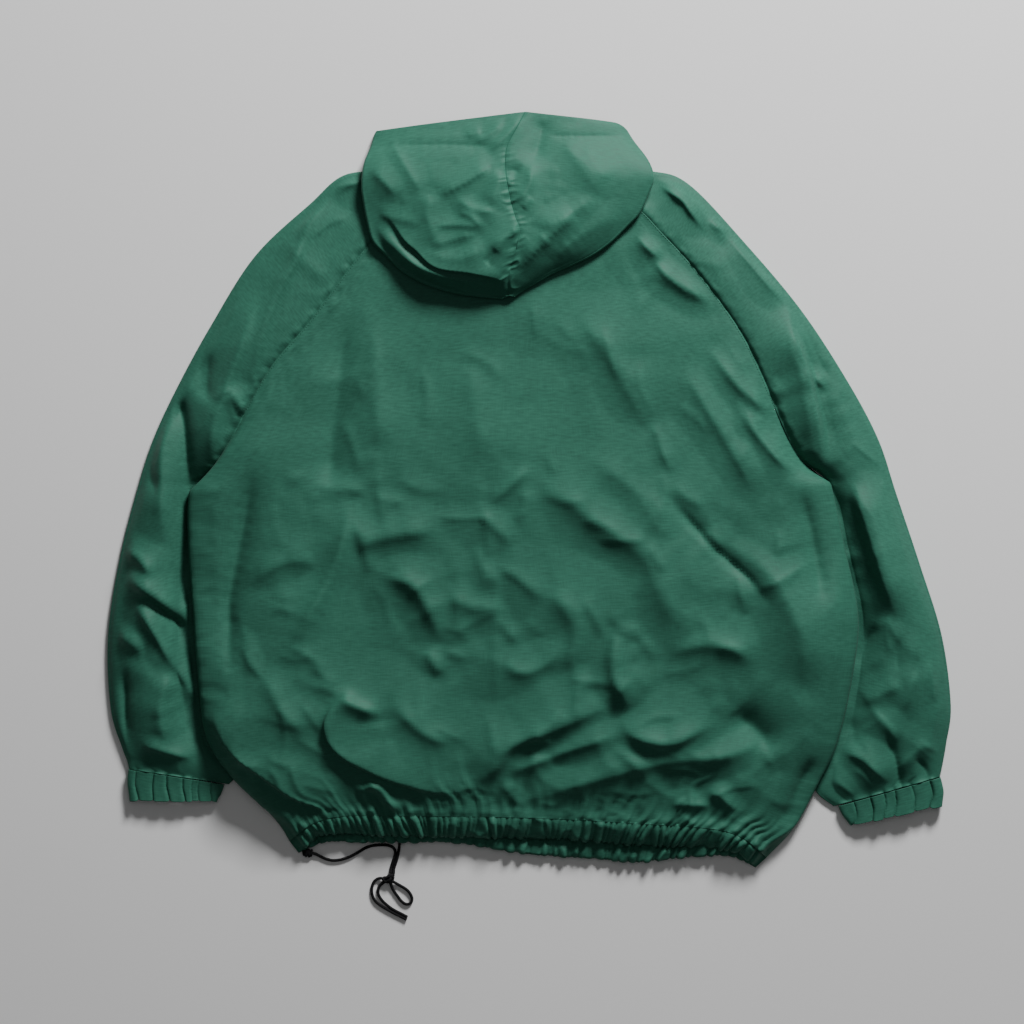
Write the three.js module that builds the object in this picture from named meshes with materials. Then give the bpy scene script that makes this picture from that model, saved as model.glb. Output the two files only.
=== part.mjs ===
// Hooded anorak smock, lying flat on its front with its hood turned back over the shoulders.
// Millimetres. X runs across the garment, Y from the hem to the hood, Z up from the floor.
import * as THREE from 'three';

// Driving dimensions
const cloth = 1.5;            // wall of one layer of cloth
const seamGap = 0.35;         // clearance between two pieces that are sewn together
const layerGap = 0.3;         // clearance between two layers that lie on each other
const sideGap = 1.6;          // clearance between the body and the sleeve lying beside it
const foldRadius = 3;         // outer radius of a fold that closes a sleeve or the hood
const seamLoft = 14;          // height at which a raglan seam lies over the trapped air
const edgeReach = 30;         // distance in which the back rises from its edge
const hoodLift = 17;          // height of the hood's under layer over the shoulders
const casingWall = 2.4;       // drawcord casing, two layers of cloth
const casingWave = 2.2;       // height of one gather in a casing
const cuffHeight = 11;        // height of a gathered cuff as it lies
const cuffWave = 1.3;         // depth of one pleat in a cuff
const cordDiameter = 2.4;

// Numbers of rows and columns
const raglanRows = 10;
const sideRows = 17;
const backColumns = 32;
const sleeveRowsBelow = 12;
const casingColumnsPerPanelColumn = 3;
const frontCasingColumns = 80;
const cuffPleats = 10;        // on each side of a cuff

const green = new THREE.MeshStandardMaterial({ color: 0x2a5a45, roughness: 0.75, metalness: 0 });
const greenHem = new THREE.MeshStandardMaterial({ color: 0x244e3c, roughness: 0.78, metalness: 0 });
const black = new THREE.MeshStandardMaterial({ color: 0x111312, roughness: 0.7, metalness: 0 });

// Sleeves: a row for each section, from the neck seam to the cuff. outerX, outerY lie on the
// fold along the top of the sleeve, innerX, innerY on the raglan seam and then on the underarm
// seam, and loft is the height of the air inside.
const underarmRow = 7;
const leftSleeve = [
  { outerX: -128, outerY: 346, innerX: -108, innerY: 326, loft: 1 },
  { outerX: -197, outerY: 347, innerX: -150, innerY: 296, loft: 2 },
  { outerX: -240, outerY: 313, innerX: -190, innerY: 250, loft: 8 },
  { outerX: -300, outerY: 256, innerX: -239, innerY: 185, loft: 14 },
  { outerX: -348, outerY: 180, innerX: -280, innerY: 137, loft: 15 },
  { outerX: -384, outerY: 114, innerX: -310, innerY: 86, loft: 14 },
  { outerX: -411, outerY: 56, innerX: -341, innerY: 30, loft: 14 },
  { outerX: -429, outerY: 0, innerX: -369, innerY: -2, loft: 14 },
  { outerX: -448, outerY: -75, innerX: -368, innerY: -60, loft: 15 },
  { outerX: -461, outerY: -160, innerX: -363, innerY: -132, loft: 15 },
  { outerX: -458, outerY: -240, innerX: -357, innerY: -210, loft: 15 },
  { outerX: -445, outerY: -284, innerX: -348, innerY: -272, loft: 13 },
  { outerX: -440, outerY: -297, innerX: -327, innerY: -308, loft: 11 },
  { outerX: -438, outerY: -306.5, innerX: -334, innerY: -322.5, loft: 9 },
];
const rightSleeve = [
  { outerX: 92, outerY: 346, innerX: 74, innerY: 326, loft: 1 },
  { outerX: 142, outerY: 348, innerX: 118, innerY: 309, loft: 2 },
  { outerX: 180, outerY: 334, innerX: 146, innerY: 282, loft: 7 },
  { outerX: 238, outerY: 280, innerX: 190, innerY: 233, loft: 14 },
  { outerX: 300, outerY: 200, innerX: 236, innerY: 168, loft: 15 },
  { outerX: 350, outerY: 120, innerX: 268, innerY: 100, loft: 14 },
  { outerX: 384, outerY: 56, innerX: 298, innerY: 38, loft: 13 },
  { outerX: 404, outerY: -4, innerX: 330, innerY: 8, loft: 13 },
  { outerX: 430, outerY: -82, innerX: 345, innerY: -62, loft: 15 },
  { outerX: 454, outerY: -160, innerX: 360, innerY: -140, loft: 15 },
  { outerX: 464, outerY: -236, innerX: 352, innerY: -212, loft: 15 },
  { outerX: 459, outerY: -278, innerX: 339, innerY: -268, loft: 14 },
  { outerX: 455, outerY: -301, innerX: 319, innerY: -322, loft: 12 },
  { outerX: 452, outerY: -315, innerX: 341, innerY: -346, loft: 9 },
];

// Side seams of the body, from the underarm to the corner of the hem
const leftSide = [
  { x: -369, y: -2 },
  { x: -368, y: -60 },
  { x: -363, y: -132 },
  { x: -357, y: -210 },
  { x: -348, y: -272 },
  { x: -321, y: -315 },
  { x: -281, y: -356 },
  { x: -262, y: -386 },
];
const rightSide = [
  { x: 330, y: 8 },
  { x: 345, y: -62 },
  { x: 360, y: -140 },
  { x: 352, y: -212 },
  { x: 336, y: -280 },
  { x: 316, y: -323 },
  { x: 290, y: -372 },
  { x: 262, y: -404 },
];

// Drawcord casings at the hem, a row for each place across: the seam to the panel above, and
// the free edge below
const backCasing = [
  { topX: -262, topY: -386, edgeX: -252, edgeY: -399 },
  { topX: -236, topY: -366, edgeX: -226, edgeY: -380 },
  { topX: -200, topY: -357, edgeX: -198, edgeY: -378 },
  { topX: -130, topY: -357, edgeX: -130, edgeY: -380 },
  { topX: -40, topY: -358, edgeX: -40, edgeY: -382 },
  { topX: 50, topY: -361, edgeX: 50, edgeY: -384 },
  { topX: 130, topY: -366, edgeX: 130, edgeY: -390 },
  { topX: 200, topY: -371, edgeX: 200, edgeY: -393 },
  { topX: 234, topY: -381, edgeX: 231, edgeY: -399 },
  { topX: 262, topY: -404, edgeX: 250, edgeY: -415 },
];
const frontCasing = [
  { topX: -262, topY: -386, edgeX: -252, edgeY: -399 },
  { topX: -225, topY: -372, edgeX: -222, edgeY: -387 },
  { topX: -165, topY: -364, edgeX: -165, edgeY: -387 },
  { topX: -80, topY: -364, edgeX: -80, edgeY: -388 },
  { topX: 0, topY: -374, edgeX: 0, edgeY: -400 },
  { topX: 80, topY: -380, edgeX: 80, edgeY: -406 },
  { topX: 120, topY: -383, edgeX: 120, edgeY: -409 },
  { topX: 165, topY: -379, edgeX: 165, edgeY: -404 },
  { topX: 220, topY: -379, edgeX: 220, edgeY: -402 },
  { topX: 262, topY: -404, edgeX: 250, edgeY: -415 },
];

// Cuffs, a row from the seam to the free edge
const leftCuff = [
  { outerX: -438, outerY: -307, innerX: -334.5, innerY: -323.2 },
  { outerX: -438, outerY: -322, innerX: -339, innerY: -333 },
  { outerX: -436, outerY: -338.5, innerX: -343, innerY: -340.5 },
];
const rightCuff = [
  { outerX: 452.3, outerY: -315.5, innerX: 341.5, innerY: -346.9 },
  { outerX: 455, outerY: -331, innerX: 349, innerY: -358 },
  { outerX: 453, outerY: -344, innerX: 356, innerY: -366 },
];

// Hood, a row for each section from its mouth to its tip: the seam down its centre, the height
// of the crown there, the folds at its two sides, and where its under layer ends
const hoodSections = [
  { seamX: -3, seamY: 414, crown: 18, leftX: -164, leftY: 394, rightX: 104, rightY: 403, underY: 408 },
  { seamX: -13, seamY: 395, crown: 24, leftX: -172, leftY: 377, rightX: 115, rightY: 384, underY: 380 },
  { seamX: -23, seamY: 375, crown: 30, leftX: -179, leftY: 358, rightX: 131, rightY: 361, underY: 353 },
  { seamX: -25, seamY: 355, crown: 36, leftX: -182, leftY: 334, rightX: 137, rightY: 341, underY: 338 },
  { seamX: -23, seamY: 335, crown: 40, leftX: -180, leftY: 315, rightX: 131, rightY: 323, underY: 328 },
  { seamX: -19, seamY: 315, crown: 43, leftX: -176, leftY: 293, rightX: 121, rightY: 302, underY: 316 },
  { seamX: -14, seamY: 297, crown: 45, leftX: -170, leftY: 272, rightX: 108, rightY: 288, underY: 297 },
  { seamX: -9, seamY: 282, crown: 45, leftX: -157, leftY: 258, rightX: 92, rightY: 272, underY: 282 },
  { seamX: -12, seamY: 268, crown: 45, leftX: -139, leftY: 240, rightX: 73, rightY: 258, underY: 268 },
  { seamX: -15, seamY: 255, crown: 43, leftX: -117, leftY: 227, rightX: 51, rightY: 247, underY: 255 },
  { seamX: -19, seamY: 243, crown: 41, leftX: -92, leftY: 218, rightX: 30, rightY: 238, underY: 243 },
  { seamX: -22, seamY: 231, crown: 38, leftX: -68, leftY: 213, rightX: 12, rightY: 228, underY: 231 },
  { seamX: -22, seamY: 221, crown: 34, leftX: -46, leftY: 210.5, rightX: -4, rightY: 219, underY: 221 },
  { seamX: -21, seamY: 212, crown: 30, leftX: -28, leftY: 209, rightX: -15, rightY: 211, underY: 212 },
];
// The under layer stops at the neck opening between these two sections, at these places
const neckOpening = { firstSection: 3, lastSection: 4, leftX: -118, rightX: 84 };
const frontNeckY = 350;

// Height of the air under the back, from the hem to the neck
const backLoft = [
  { y: -400, loft: 11 },
  { y: -360, loft: 14 },
  { y: -320, loft: 26 },
  { y: -200, loft: 30 },
  { y: 0, loft: 28 },
  { y: 150, loft: 23 },
  { y: 250, loft: 18 },
  { y: 340, loft: 16 },
];

// Folds: each runs from (x1, y1) to (x2, y2), bowed to its left by bow, and is height tall. Seen
// along it, it falls softly to its left and steeply to its right.
const backFolds = [
  { x1: -338, y1: -232, x2: -175, y2: -356, bow: -26, height: 9, soft: 16, steep: 40 },
  { x1: -222, y1: -250, x2: -70, y2: -340, bow: -38, height: 11, soft: 70, steep: 14 },
  { x1: -190, y1: -222, x2: -222, y2: -290, bow: 12, height: 7, soft: 60, steep: 14 },
  { x1: -185, y1: -322, x2: -128, y2: -352, bow: -8, height: 6, soft: 14, steep: 12 },
  { x1: -50, y1: -320, x2: 92, y2: -234, bow: 14, height: 7, soft: 45, steep: 14 },
  { x1: 10, y1: 8, x2: 185, y2: -162, bow: 6, height: -5, soft: 26, steep: 20 },
  { x1: 148, y1: -2, x2: 256, y2: -152, bow: 10, height: 6, soft: 16, steep: 45 },
  { x1: 94, y1: -148, x2: 110, y2: -268, bow: -8, height: -5, soft: 14, steep: 22 },
  { x1: 112, y1: -266, x2: 204, y2: -256, bow: -16, height: 7, soft: 30, steep: 13 },
  { x1: -20, y1: -312, x2: 130, y2: -266, bow: 4, height: 5, soft: 20, steep: 18 },
  { x1: 0, y1: -342, x2: 272, y2: -270, bow: 12, height: 6, soft: 24, steep: 18 },
  { x1: 222, y1: -238, x2: 272, y2: -288, bow: 4, height: -6, soft: 20, steep: 20 },
  { x1: 292, y1: -300, x2: 278, y2: -376, bow: 4, height: -5, soft: 16, steep: 12 },
  { x1: 300, y1: 6, x2: 322, y2: -150, bow: 8, height: -6, soft: 20, steep: 18 },
  { x1: -302, y1: 24, x2: -326, y2: -205, bow: -6, height: -6, soft: 20, steep: 22 },
  { x1: -200, y1: 205, x2: -222, y2: -20, bow: 2, height: -4, soft: 30, steep: 30 },
  { x1: -302, y1: -102, x2: -232, y2: -88, bow: 14, height: 5, soft: 22, steep: 18 },
  { x1: -205, y1: -68, x2: -266, y2: -188, bow: -6, height: 5, soft: 30, steep: 18 },
  { x1: -162, y1: -94, x2: -94, y2: -170, bow: 14, height: 5, soft: 24, steep: 18 },
  { x1: 200, y1: 152, x2: 275, y2: 82, bow: -6, height: 5, soft: 22, steep: 16 },
];
const leftSleeveFolds = [
  { x1: -218, y1: 322, x2: -304, y2: 98, bow: -8, height: 4, soft: 18, steep: 12 },
  { x1: -300, y1: 212, x2: -346, y2: 26, bow: 4, height: 4, soft: 16, steep: 12 },
  { x1: -392, y1: 98, x2: -372, y2: -42, bow: 8, height: -5, soft: 14, steep: 14 },
  { x1: -424, y1: -104, x2: -360, y2: -182, bow: 8, height: -7, soft: 16, steep: 12 },
  { x1: -434, y1: -114, x2: -360, y2: -240, bow: 8, height: 5, soft: 20, steep: 14 },
  { x1: -440, y1: -200, x2: -441, y2: -296, bow: 2, height: -3, soft: 10, steep: 12 },
];
const rightSleeveFolds = [
  { x1: 134, y1: 331, x2: 196, y2: 276, bow: 5, height: 4, soft: 14, steep: 12 },
  { x1: 214, y1: 286, x2: 276, y2: 198, bow: 3, height: 4, soft: 16, steep: 14 },
  { x1: 286, y1: 212, x2: 322, y2: 14, bow: 6, height: 5, soft: 24, steep: 12 },
  { x1: 352, y1: 0, x2: 400, y2: -142, bow: -4, height: -6, soft: 14, steep: 18 },
  { x1: 346, y1: -290, x2: 402, y2: -332, bow: 8, height: -4, soft: 12, steep: 14 },
];
const hoodFolds = [
  { x1: -154, y1: 297, x2: -26, y2: 222, bow: -30, height: 9, soft: 50, steep: 12 },
  { x1: -20, y1: 345, x2: -16, y2: 232, bow: 6, height: -5, soft: 12, steep: 12 },
  { x1: -6, y1: 238, x2: 62, y2: 312, bow: -8, height: 5, soft: 26, steep: 14 },
  { x1: -96, y1: 318, x2: -42, y2: 352, bow: 4, height: 3, soft: 14, steep: 12 },
  { x1: -106, y1: 276, x2: -48, y2: 292, bow: 4, height: 4, soft: 16, steep: 12 },
  { x1: -152, y1: 380, x2: -116, y2: 324, bow: 4, height: -4, soft: 18, steep: 16 },
  { x1: 38, y1: 362, x2: 78, y2: 318, bow: 6, height: -4, soft: 18, steep: 16 },
];

// Drawcord: each strand's route across the floor, from where it leaves the casing or the knot
const cordRoutes = [
  {
    name: 'drawcord_loop_strand',
    points: [
      [-233, -400, 2.5], [-228, -403, 1.6], [-221, -406, 1.3], [-213, -407.3, 1.3], [-204, -406, 1.3],
      [-195, -402.8, 1.3], [-187, -398.5, 1.3], [-179, -393.6, 1.8], [-171, -391, 2.2], [-163, -390.2, 2.2],
      [-155, -390.4, 2.2], [-149, -392.6, 2], [-146, -397, 1.6], [-146.6, -403, 1.3], [-148.6, -409, 1.3],
      [-150.4, -415, 1.6], [-150.9, -418.6, 2.5], [-151, -421.2, 3.4],
    ],
  },
  {
    name: 'drawcord_drop_strand',
    points: [
      [-141.5, -387.5, 5], [-141.4, -391, 3.2], [-142, -395.5, 1.8], [-142.9, -400.5, 1.3],
      [-144.2, -406, 1.3], [-146, -411.5, 1.3], [-147.3, -416, 1.6], [-147.7, -419.4, 2.6],
      [-147.8, -422, 3.4],
    ],
  },
  {
    name: 'drawcord_bow',
    points: [
      [-147, -431.2, 3.3], [-144, -433, 2.2], [-140.5, -435, 1.3], [-136, -437.6, 1.3], [-131.8, -441, 1.3], [-128.8, -445.2, 1.3],
      [-127.5, -449.6, 1.3], [-128.6, -453.4, 1.3], [-131.8, -455.4, 1.3], [-136, -454.6, 1.3],
      [-140, -451.2, 1.3], [-143.4, -446.6, 1.3], [-146.8, -442, 1.3],
      [-149.3, -437.6, 2], [-150.7, -433, 3.3],
    ],
  },
  {
    name: 'drawcord_tail_outer',
    points: [
      [-160.6, -426.8, 3.4], [-162.8, -426.9, 2.4], [-165.8, -427.8, 1.3], [-169.2, -430.6, 1.3], [-171.3, -435.4, 1.3],
      [-171.9, -441, 1.3], [-170.8, -446.8, 1.3], [-168, -451.8, 1.3], [-163.6, -455.8, 1.3],
      [-158, -459.4, 1.3], [-152, -462.8, 1.3], [-146, -466, 1.3], [-140, -469, 1.3], [-133.5, -472.4, 1.3],
    ],
  },
  {
    name: 'drawcord_tail_inner',
    points: [
      [-158.5, -431.1, 3.2], [-161.2, -433, 2.1], [-163.7, -435.8, 1.3], [-164.6, -439.6, 1.3], [-164.2, -444, 1.3],
      [-162, -448.2, 1.3], [-158.2, -451.6, 1.3], [-153.6, -455, 1.3], [-148.6, -458.8, 1.3],
      [-143.6, -462, 1.3], [-138, -465, 1.3], [-131.6, -468.6, 1.3],
    ],
  },
];
const cordStepsPerPoint = 1;
const cordSides = 8;
const knot = { x: -152.6, y: -427, width: 15, depth: 11, height: 7 };
const endKnot = { x: -241.5, y: -398.6, width: 13, depth: 7, height: 5.6 };

// One row of a table at t, counted in rows, on a smooth curve through its neighbours
function tableAt(rows, t) {
  const last = rows.length - 1;
  const i = Math.min(Math.max(Math.floor(t), 0), last - 1);
  const f = t - i;
  const [a, b, c, d] = [rows[Math.max(i - 1, 0)], rows[i], rows[i + 1], rows[Math.min(i + 2, last)]];
  const row = {};
  for (const column of Object.keys(b)) {
    const start = (c[column] - a[column]) / 2;
    const end = (d[column] - b[column]) / 2;
    const rise = c[column] - b[column];
    const bend = (3 * rise - 2 * start - end) * f * f + (start + end - 2 * rise) * f * f * f;
    row[column] = b[column] + start * f + bend;
  }
  return row;
}

function smooth(from, to, value) {
  const f = THREE.MathUtils.clamp((value - from) / (to - from), 0, 1);
  return f * f * (3 - 2 * f);
}

// x on a table's curve at the height y, where y falls from row to row
function edgeAt(rows, y, xName, yName) {
  let low = 0;
  let high = rows.length - 1;
  for (let step = 0; step < 24; step += 1) {
    const middle = (low + high) / 2;
    if (tableAt(rows, middle)[yName] > y) low = middle;
    else high = middle;
  }
  return tableAt(rows, (low + high) / 2)[xName];
}

// Height that a list of folds adds at a place
function foldHeight(folds, x, y) {
  const steps = 8;
  let sum = 0;
  for (const fold of folds) {
    const dx = fold.x2 - fold.x1;
    const dy = fold.y2 - fold.y1;
    const length = Math.hypot(dx, dy);
    const middleX = (fold.x1 + fold.x2) / 2 - (dy / length) * fold.bow * 2;
    const middleY = (fold.y1 + fold.y2) / 2 + (dx / length) * fold.bow * 2;
    const place = (t) => [
      (1 - t) * (1 - t) * fold.x1 + 2 * t * (1 - t) * middleX + t * t * fold.x2,
      (1 - t) * (1 - t) * fold.y1 + 2 * t * (1 - t) * middleY + t * t * fold.y2,
    ];
    let nearest = { distance: Infinity, along: 0, side: 1 };
    for (let i = 0; i < steps; i += 1) {
      const [ax, ay] = place(i / steps);
      const [bx, by] = place((i + 1) / steps);
      const span = (bx - ax) ** 2 + (by - ay) ** 2;
      const f = THREE.MathUtils.clamp(((x - ax) * (bx - ax) + (y - ay) * (by - ay)) / span, 0, 1);
      const distance = Math.hypot(x - ax - f * (bx - ax), y - ay - f * (by - ay));
      if (distance < nearest.distance) {
        const side = Math.sign((bx - ax) * (y - ay) - (by - ay) * (x - ax)) || 1;
        nearest = { distance, along: (i + f) / steps, side };
      }
    }
    const width = nearest.side > 0 ? fold.soft : fold.steep;
    const taper = smooth(0, 0.22, nearest.along) * smooth(1, 0.78, nearest.along);
    sum += fold.height * taper * Math.exp(-((nearest.distance / width) ** 2));
  }
  return sum;
}

// A closed wall between two grids of points. With ring, its columns close on themselves.
function wall(outer, inner, ring = false) {
  const rows = outer.length;
  const columns = outer[0].length;
  const positions = [...outer.flat(2), ...inner.flat(2)];
  const innerStart = rows * columns;
  const index = [];
  const quad = (a, b, c, d) => index.push(a, b, c, a, c, d);
  const at = (i, j) => i * columns + (j % columns);
  const lastColumn = ring ? columns : columns - 1;
  for (let i = 0; i < rows - 1; i += 1) {
    for (let j = 0; j < lastColumn; j += 1) {
      quad(at(i, j), at(i, j + 1), at(i + 1, j + 1), at(i + 1, j));
      quad(
        innerStart + at(i, j), innerStart + at(i + 1, j),
        innerStart + at(i + 1, j + 1), innerStart + at(i, j + 1),
      );
    }
    if (!ring) {
      quad(at(i, 0), at(i + 1, 0), innerStart + at(i + 1, 0), innerStart + at(i, 0));
      const j = columns - 1;
      quad(at(i, j), innerStart + at(i, j), innerStart + at(i + 1, j), at(i + 1, j));
    }
  }
  for (let j = 0; j < lastColumn; j += 1) {
    const i = rows - 1;
    quad(at(0, j), innerStart + at(0, j), innerStart + at(0, j + 1), at(0, j + 1));
    quad(at(i, j), at(i, j + 1), innerStart + at(i, j + 1), innerStart + at(i, j));
  }
  const geometry = new THREE.BufferGeometry();
  geometry.setAttribute('position', new THREE.Float32BufferAttribute(positions, 3));
  geometry.setIndex(index);
  if (signedVolume(geometry) < 0) index.reverse();
  geometry.setIndex(index);
  geometry.computeVertexNormals();
  return geometry;
}

function signedVolume(geometry) {
  const place = geometry.getAttribute('position');
  const corners = geometry.getIndex().array;
  const [a, b, c] = [new THREE.Vector3(), new THREE.Vector3(), new THREE.Vector3()];
  let volume = 0;
  for (let i = 0; i < corners.length; i += 3) {
    a.fromBufferAttribute(place, corners[i]);
    b.fromBufferAttribute(place, corners[i + 1]);
    c.fromBufferAttribute(place, corners[i + 2]);
    volume += a.dot(b.cross(c)) / 6;
  }
  return volume;
}

// The section of a sheet that is folded at its side: under layer, round fold, upper layer.
// under(x, y) and upper(f, x, y) give the height of each layer's outer face.
function foldedSection({ side, topEnd, lowEnd, under, upper, radius, counts }) {
  const outer = [];
  const inner = [];
  const floor = under(side[0], side[1]);
  const along = (end, f) => [side[0] + (end[0] - side[0]) * f, side[1] + (end[1] - side[1]) * f];
  const lengthTo = (end) => Math.hypot(end[0] - side[0], end[1] - side[1]);
  const lowStart = radius / lengthTo(lowEnd);
  const topStart = radius / lengthTo(topEnd);
  for (let j = 0; j <= counts.low; j += 1) {
    const [x, y] = along(lowEnd, 1 - (1 - lowStart) * (j / counts.low));
    const z = under(x, y);
    outer.push([x, y, z]);
    inner.push([x, y, z + cloth]);
  }
  for (let j = 1; j < counts.fold; j += 1) {
    const angle = Math.PI * (j / counts.fold);
    const end = j * 2 < counts.fold ? lowEnd : topEnd;
    for (const [list, size] of [[outer, radius], [inner, radius - cloth]]) {
      const [x, y] = along(end, (radius - size * Math.sin(angle)) / lengthTo(end));
      list.push([x, y, floor + radius - size * Math.cos(angle)]);
    }
  }
  for (let j = 0; j <= counts.top; j += 1) {
    const f = topStart + (1 - topStart) * (j / counts.top);
    const [x, y] = along(topEnd, f);
    const z = upper(f, x, y, floor + 2 * radius);
    outer.push([x, y, z]);
    inner.push([x, y, z - cloth]);
  }
  return { outer, inner };
}

// A row on a sleeve's table for each place along the raglan seam, and then down to the cuff
function sleevePlaces() {
  const places = [];
  for (let i = 0; i <= raglanRows; i += 1) places.push((underarmRow * i) / raglanRows);
  return places;
}

// Height of the underside of the back along its edge: on the front panel at the side seams,
// lifted over the air along the raglan seams
function edgeLift(place) {
  const onFront = cloth + layerGap;
  return onFront + (seamLoft - onFront) * smooth(underarmRow, underarmRow - 1.8, place);
}

function sleeve(table, folds, outward) {
  const outer = [];
  const inner = [];
  const last = table.length - 1;
  const places = sleevePlaces();
  for (let i = 1; i <= sleeveRowsBelow; i += 1) {
    places.push(underarmRow + ((last - underarmRow) * i) / sleeveRowsBelow);
  }
  for (const place of places) {
    const row = tableAt(table, place);
    const end = [row.innerX + outward * seamGap * 2, row.innerY];
    if (place > underarmRow) {
      const bodyX = edgeAt(outward < 0 ? leftSide : rightSide, row.innerY, 'x', 'y');
      end[0] = outward * Math.max(outward * row.innerX, outward * bodyX + sideGap);
    }
    const innerHeight = edgeLift(place) + cloth;
    const section = foldedSection({
      side: [row.outerX, row.outerY],
      topEnd: end,
      lowEnd: end,
      radius: foldRadius,
      counts: { low: 2, fold: 4, top: 11 },
      under: () => 0,
      upper: (f, x, y, foldTop) => {
        const rise = row.loft * Math.sin(Math.PI * Math.min(f * 1.04, 1)) ** 0.9;
        const fade = smooth(0, 0.2, f) * smooth(1, 0.8, f);
        return foldTop + (innerHeight - foldTop) * f * f + rise + fade * foldHeight(folds, x, y);
      },
    });
    outer.push(section.outer);
    inner.push(section.inner);
  }
  return wall(outer, inner);
}

// Left and right ends of each row of the back panel, from the hem to the neck
function backRowEnds() {
  const ends = [];
  const lastSide = leftSide.length - 1;
  for (let i = sideRows; i > 0; i -= 1) {
    const t = lastSide * (i / sideRows) ** 0.8;
    const place = underarmRow;
    ends.push({ left: tableAt(leftSide, t), right: tableAt(rightSide, t), place });
  }
  for (const place of sleevePlaces().reverse()) {
    const [left, right] = [tableAt(leftSleeve, place), tableAt(rightSleeve, place)];
    ends.push({
      left: { x: left.innerX, y: left.innerY },
      right: { x: right.innerX, y: right.innerY },
      place,
    });
  }
  return ends;
}

const leftBodyEdge = [
  ...leftSleeve.slice(0, underarmRow).map((row) => ({ x: row.innerX, y: row.innerY })),
  ...leftSide,
];
const rightBodyEdge = [
  ...rightSleeve.slice(0, underarmRow).map((row) => ({ x: row.innerX, y: row.innerY })),
  ...rightSide,
];

// Underside of the back without its folds
function backUnderside(x, y, lift) {
  const fromLeft = Math.max(x - edgeAt(leftBodyEdge, y, 'x', 'y'), 0);
  const fromRight = Math.max(edgeAt(rightBodyEdge, y, 'x', 'y') - x, 0);
  const rise = (1 - Math.exp(-fromLeft / edgeReach)) * (1 - Math.exp(-fromRight / edgeReach));
  const loftPlace = backLoft.findIndex((row) => row.y > y);
  const i = THREE.MathUtils.clamp(loftPlace - 1, 0, backLoft.length - 2);
  const [a, b] = [backLoft[i], backLoft[i + 1]];
  const loft = a.loft + (b.loft - a.loft) * smooth(a.y, b.y, y);
  return lift + (loft - lift) * rise;
}

function backGrid() {
  const ends = backRowEnds();
  return ends.map(({ left, right, place }, i) => {
    const lift = edgeLift(place);
    const toHem = (1 - i / (ends.length - 1)) ** 6;
    const points = [];
    for (let j = 0; j <= backColumns; j += 1) {
      const even = j / backColumns;
      const f = even - (0.35 / (2 * Math.PI)) * Math.sin(2 * Math.PI * even);
      const hem = tableAt(backCasing, f * (backCasing.length - 1));
      const [first, last] = [backCasing[0], backCasing[backCasing.length - 1]];
      const x = left.x + (right.x - left.x) * f + toHem * (hem.topX - first.topX - (last.topX - first.topX) * f);
      const y = left.y + (right.y - left.y) * f + toHem * (hem.topY - first.topY - (last.topY - first.topY) * f);
      const fade = smooth(0, 0.05, f) * smooth(1, 0.95, f) * smooth(0, 3, i);
      points.push([x, y, backUnderside(x, y, lift) + fade * foldHeight(backFolds, x, y)]);
    }
    return points;
  });
}

const lifted = (grid, rise) => grid.map((row) => row.map(([x, y, z]) => [x, y, z + rise]));

function backPanel(grid) {
  return wall(lifted(grid, cloth), grid);
}

function frontPanel() {
  const ends = backRowEnds();
  const shape = new THREE.Shape();
  const hem = frontCasing.map((row) => [row.topX, row.topY]);
  const right = ends.slice(1).map((row) => [row.right.x, row.right.y]);
  const left = ends.slice(1).map((row) => [row.left.x, row.left.y]).reverse();
  const neck = [[92, frontNeckY], [-128, frontNeckY]];
  [...hem, ...right, ...neck, ...left].forEach(([x, y], i) => {
    if (i === 0) shape.moveTo(x, y);
    else shape.lineTo(x, y);
  });
  return new THREE.ExtrudeGeometry(shape, { depth: cloth, bevelEnabled: false });
}

// Casing at the back of the hem: its seam follows the last row of the back panel
function backCasingStrip(grid) {
  const seamRow = grid[0];
  const columns = backColumns * casingColumnsPerPanelColumn;
  const rows = [0, 0.45, 1];
  const low = rows.map((depth) => {
    const points = [];
    for (let j = 0; j <= columns; j += 1) {
      const place = j / casingColumnsPerPanelColumn;
      const i = Math.min(Math.floor(place), backColumns - 1);
      const f = place - i;
      const start = [0, 1, 2].map((k) => seamRow[i][k] * (1 - f) + seamRow[i + 1][k] * f);
      const even = j / columns;
      const across = even - (0.35 / (2 * Math.PI)) * Math.sin(2 * Math.PI * even);
      const edge = tableAt(backCasing, across * (backCasing.length - 1));
      const atEnds = smooth(0, 0.06, across) * smooth(1, 0.94, across);
      const gather = j % 2 ? casingWave : 0;
      const rise = atEnds * depth * (gather + 1.2 * Math.sin(across * 40));
      points.push([
        start[0] + (edge.edgeX - start[0]) * depth,
        start[1] - seamGap * 1.6 + (edge.edgeY - start[1] + seamGap * 1.6) * depth,
        start[2] + rise - atEnds * 2.5 * depth,
      ]);
    }
    return points;
  });
  const wallAt = [cloth, casingWall, casingWall];
  const high = low.map((row, i) => row.map(([x, y, z], j) => {
    const nearEnd = smooth(0, 6, j) * smooth(columns, columns - 6, j);
    return [x, y, z + cloth + (wallAt[i] - cloth) * nearEnd];
  }));
  return wall(high, low);
}

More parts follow.
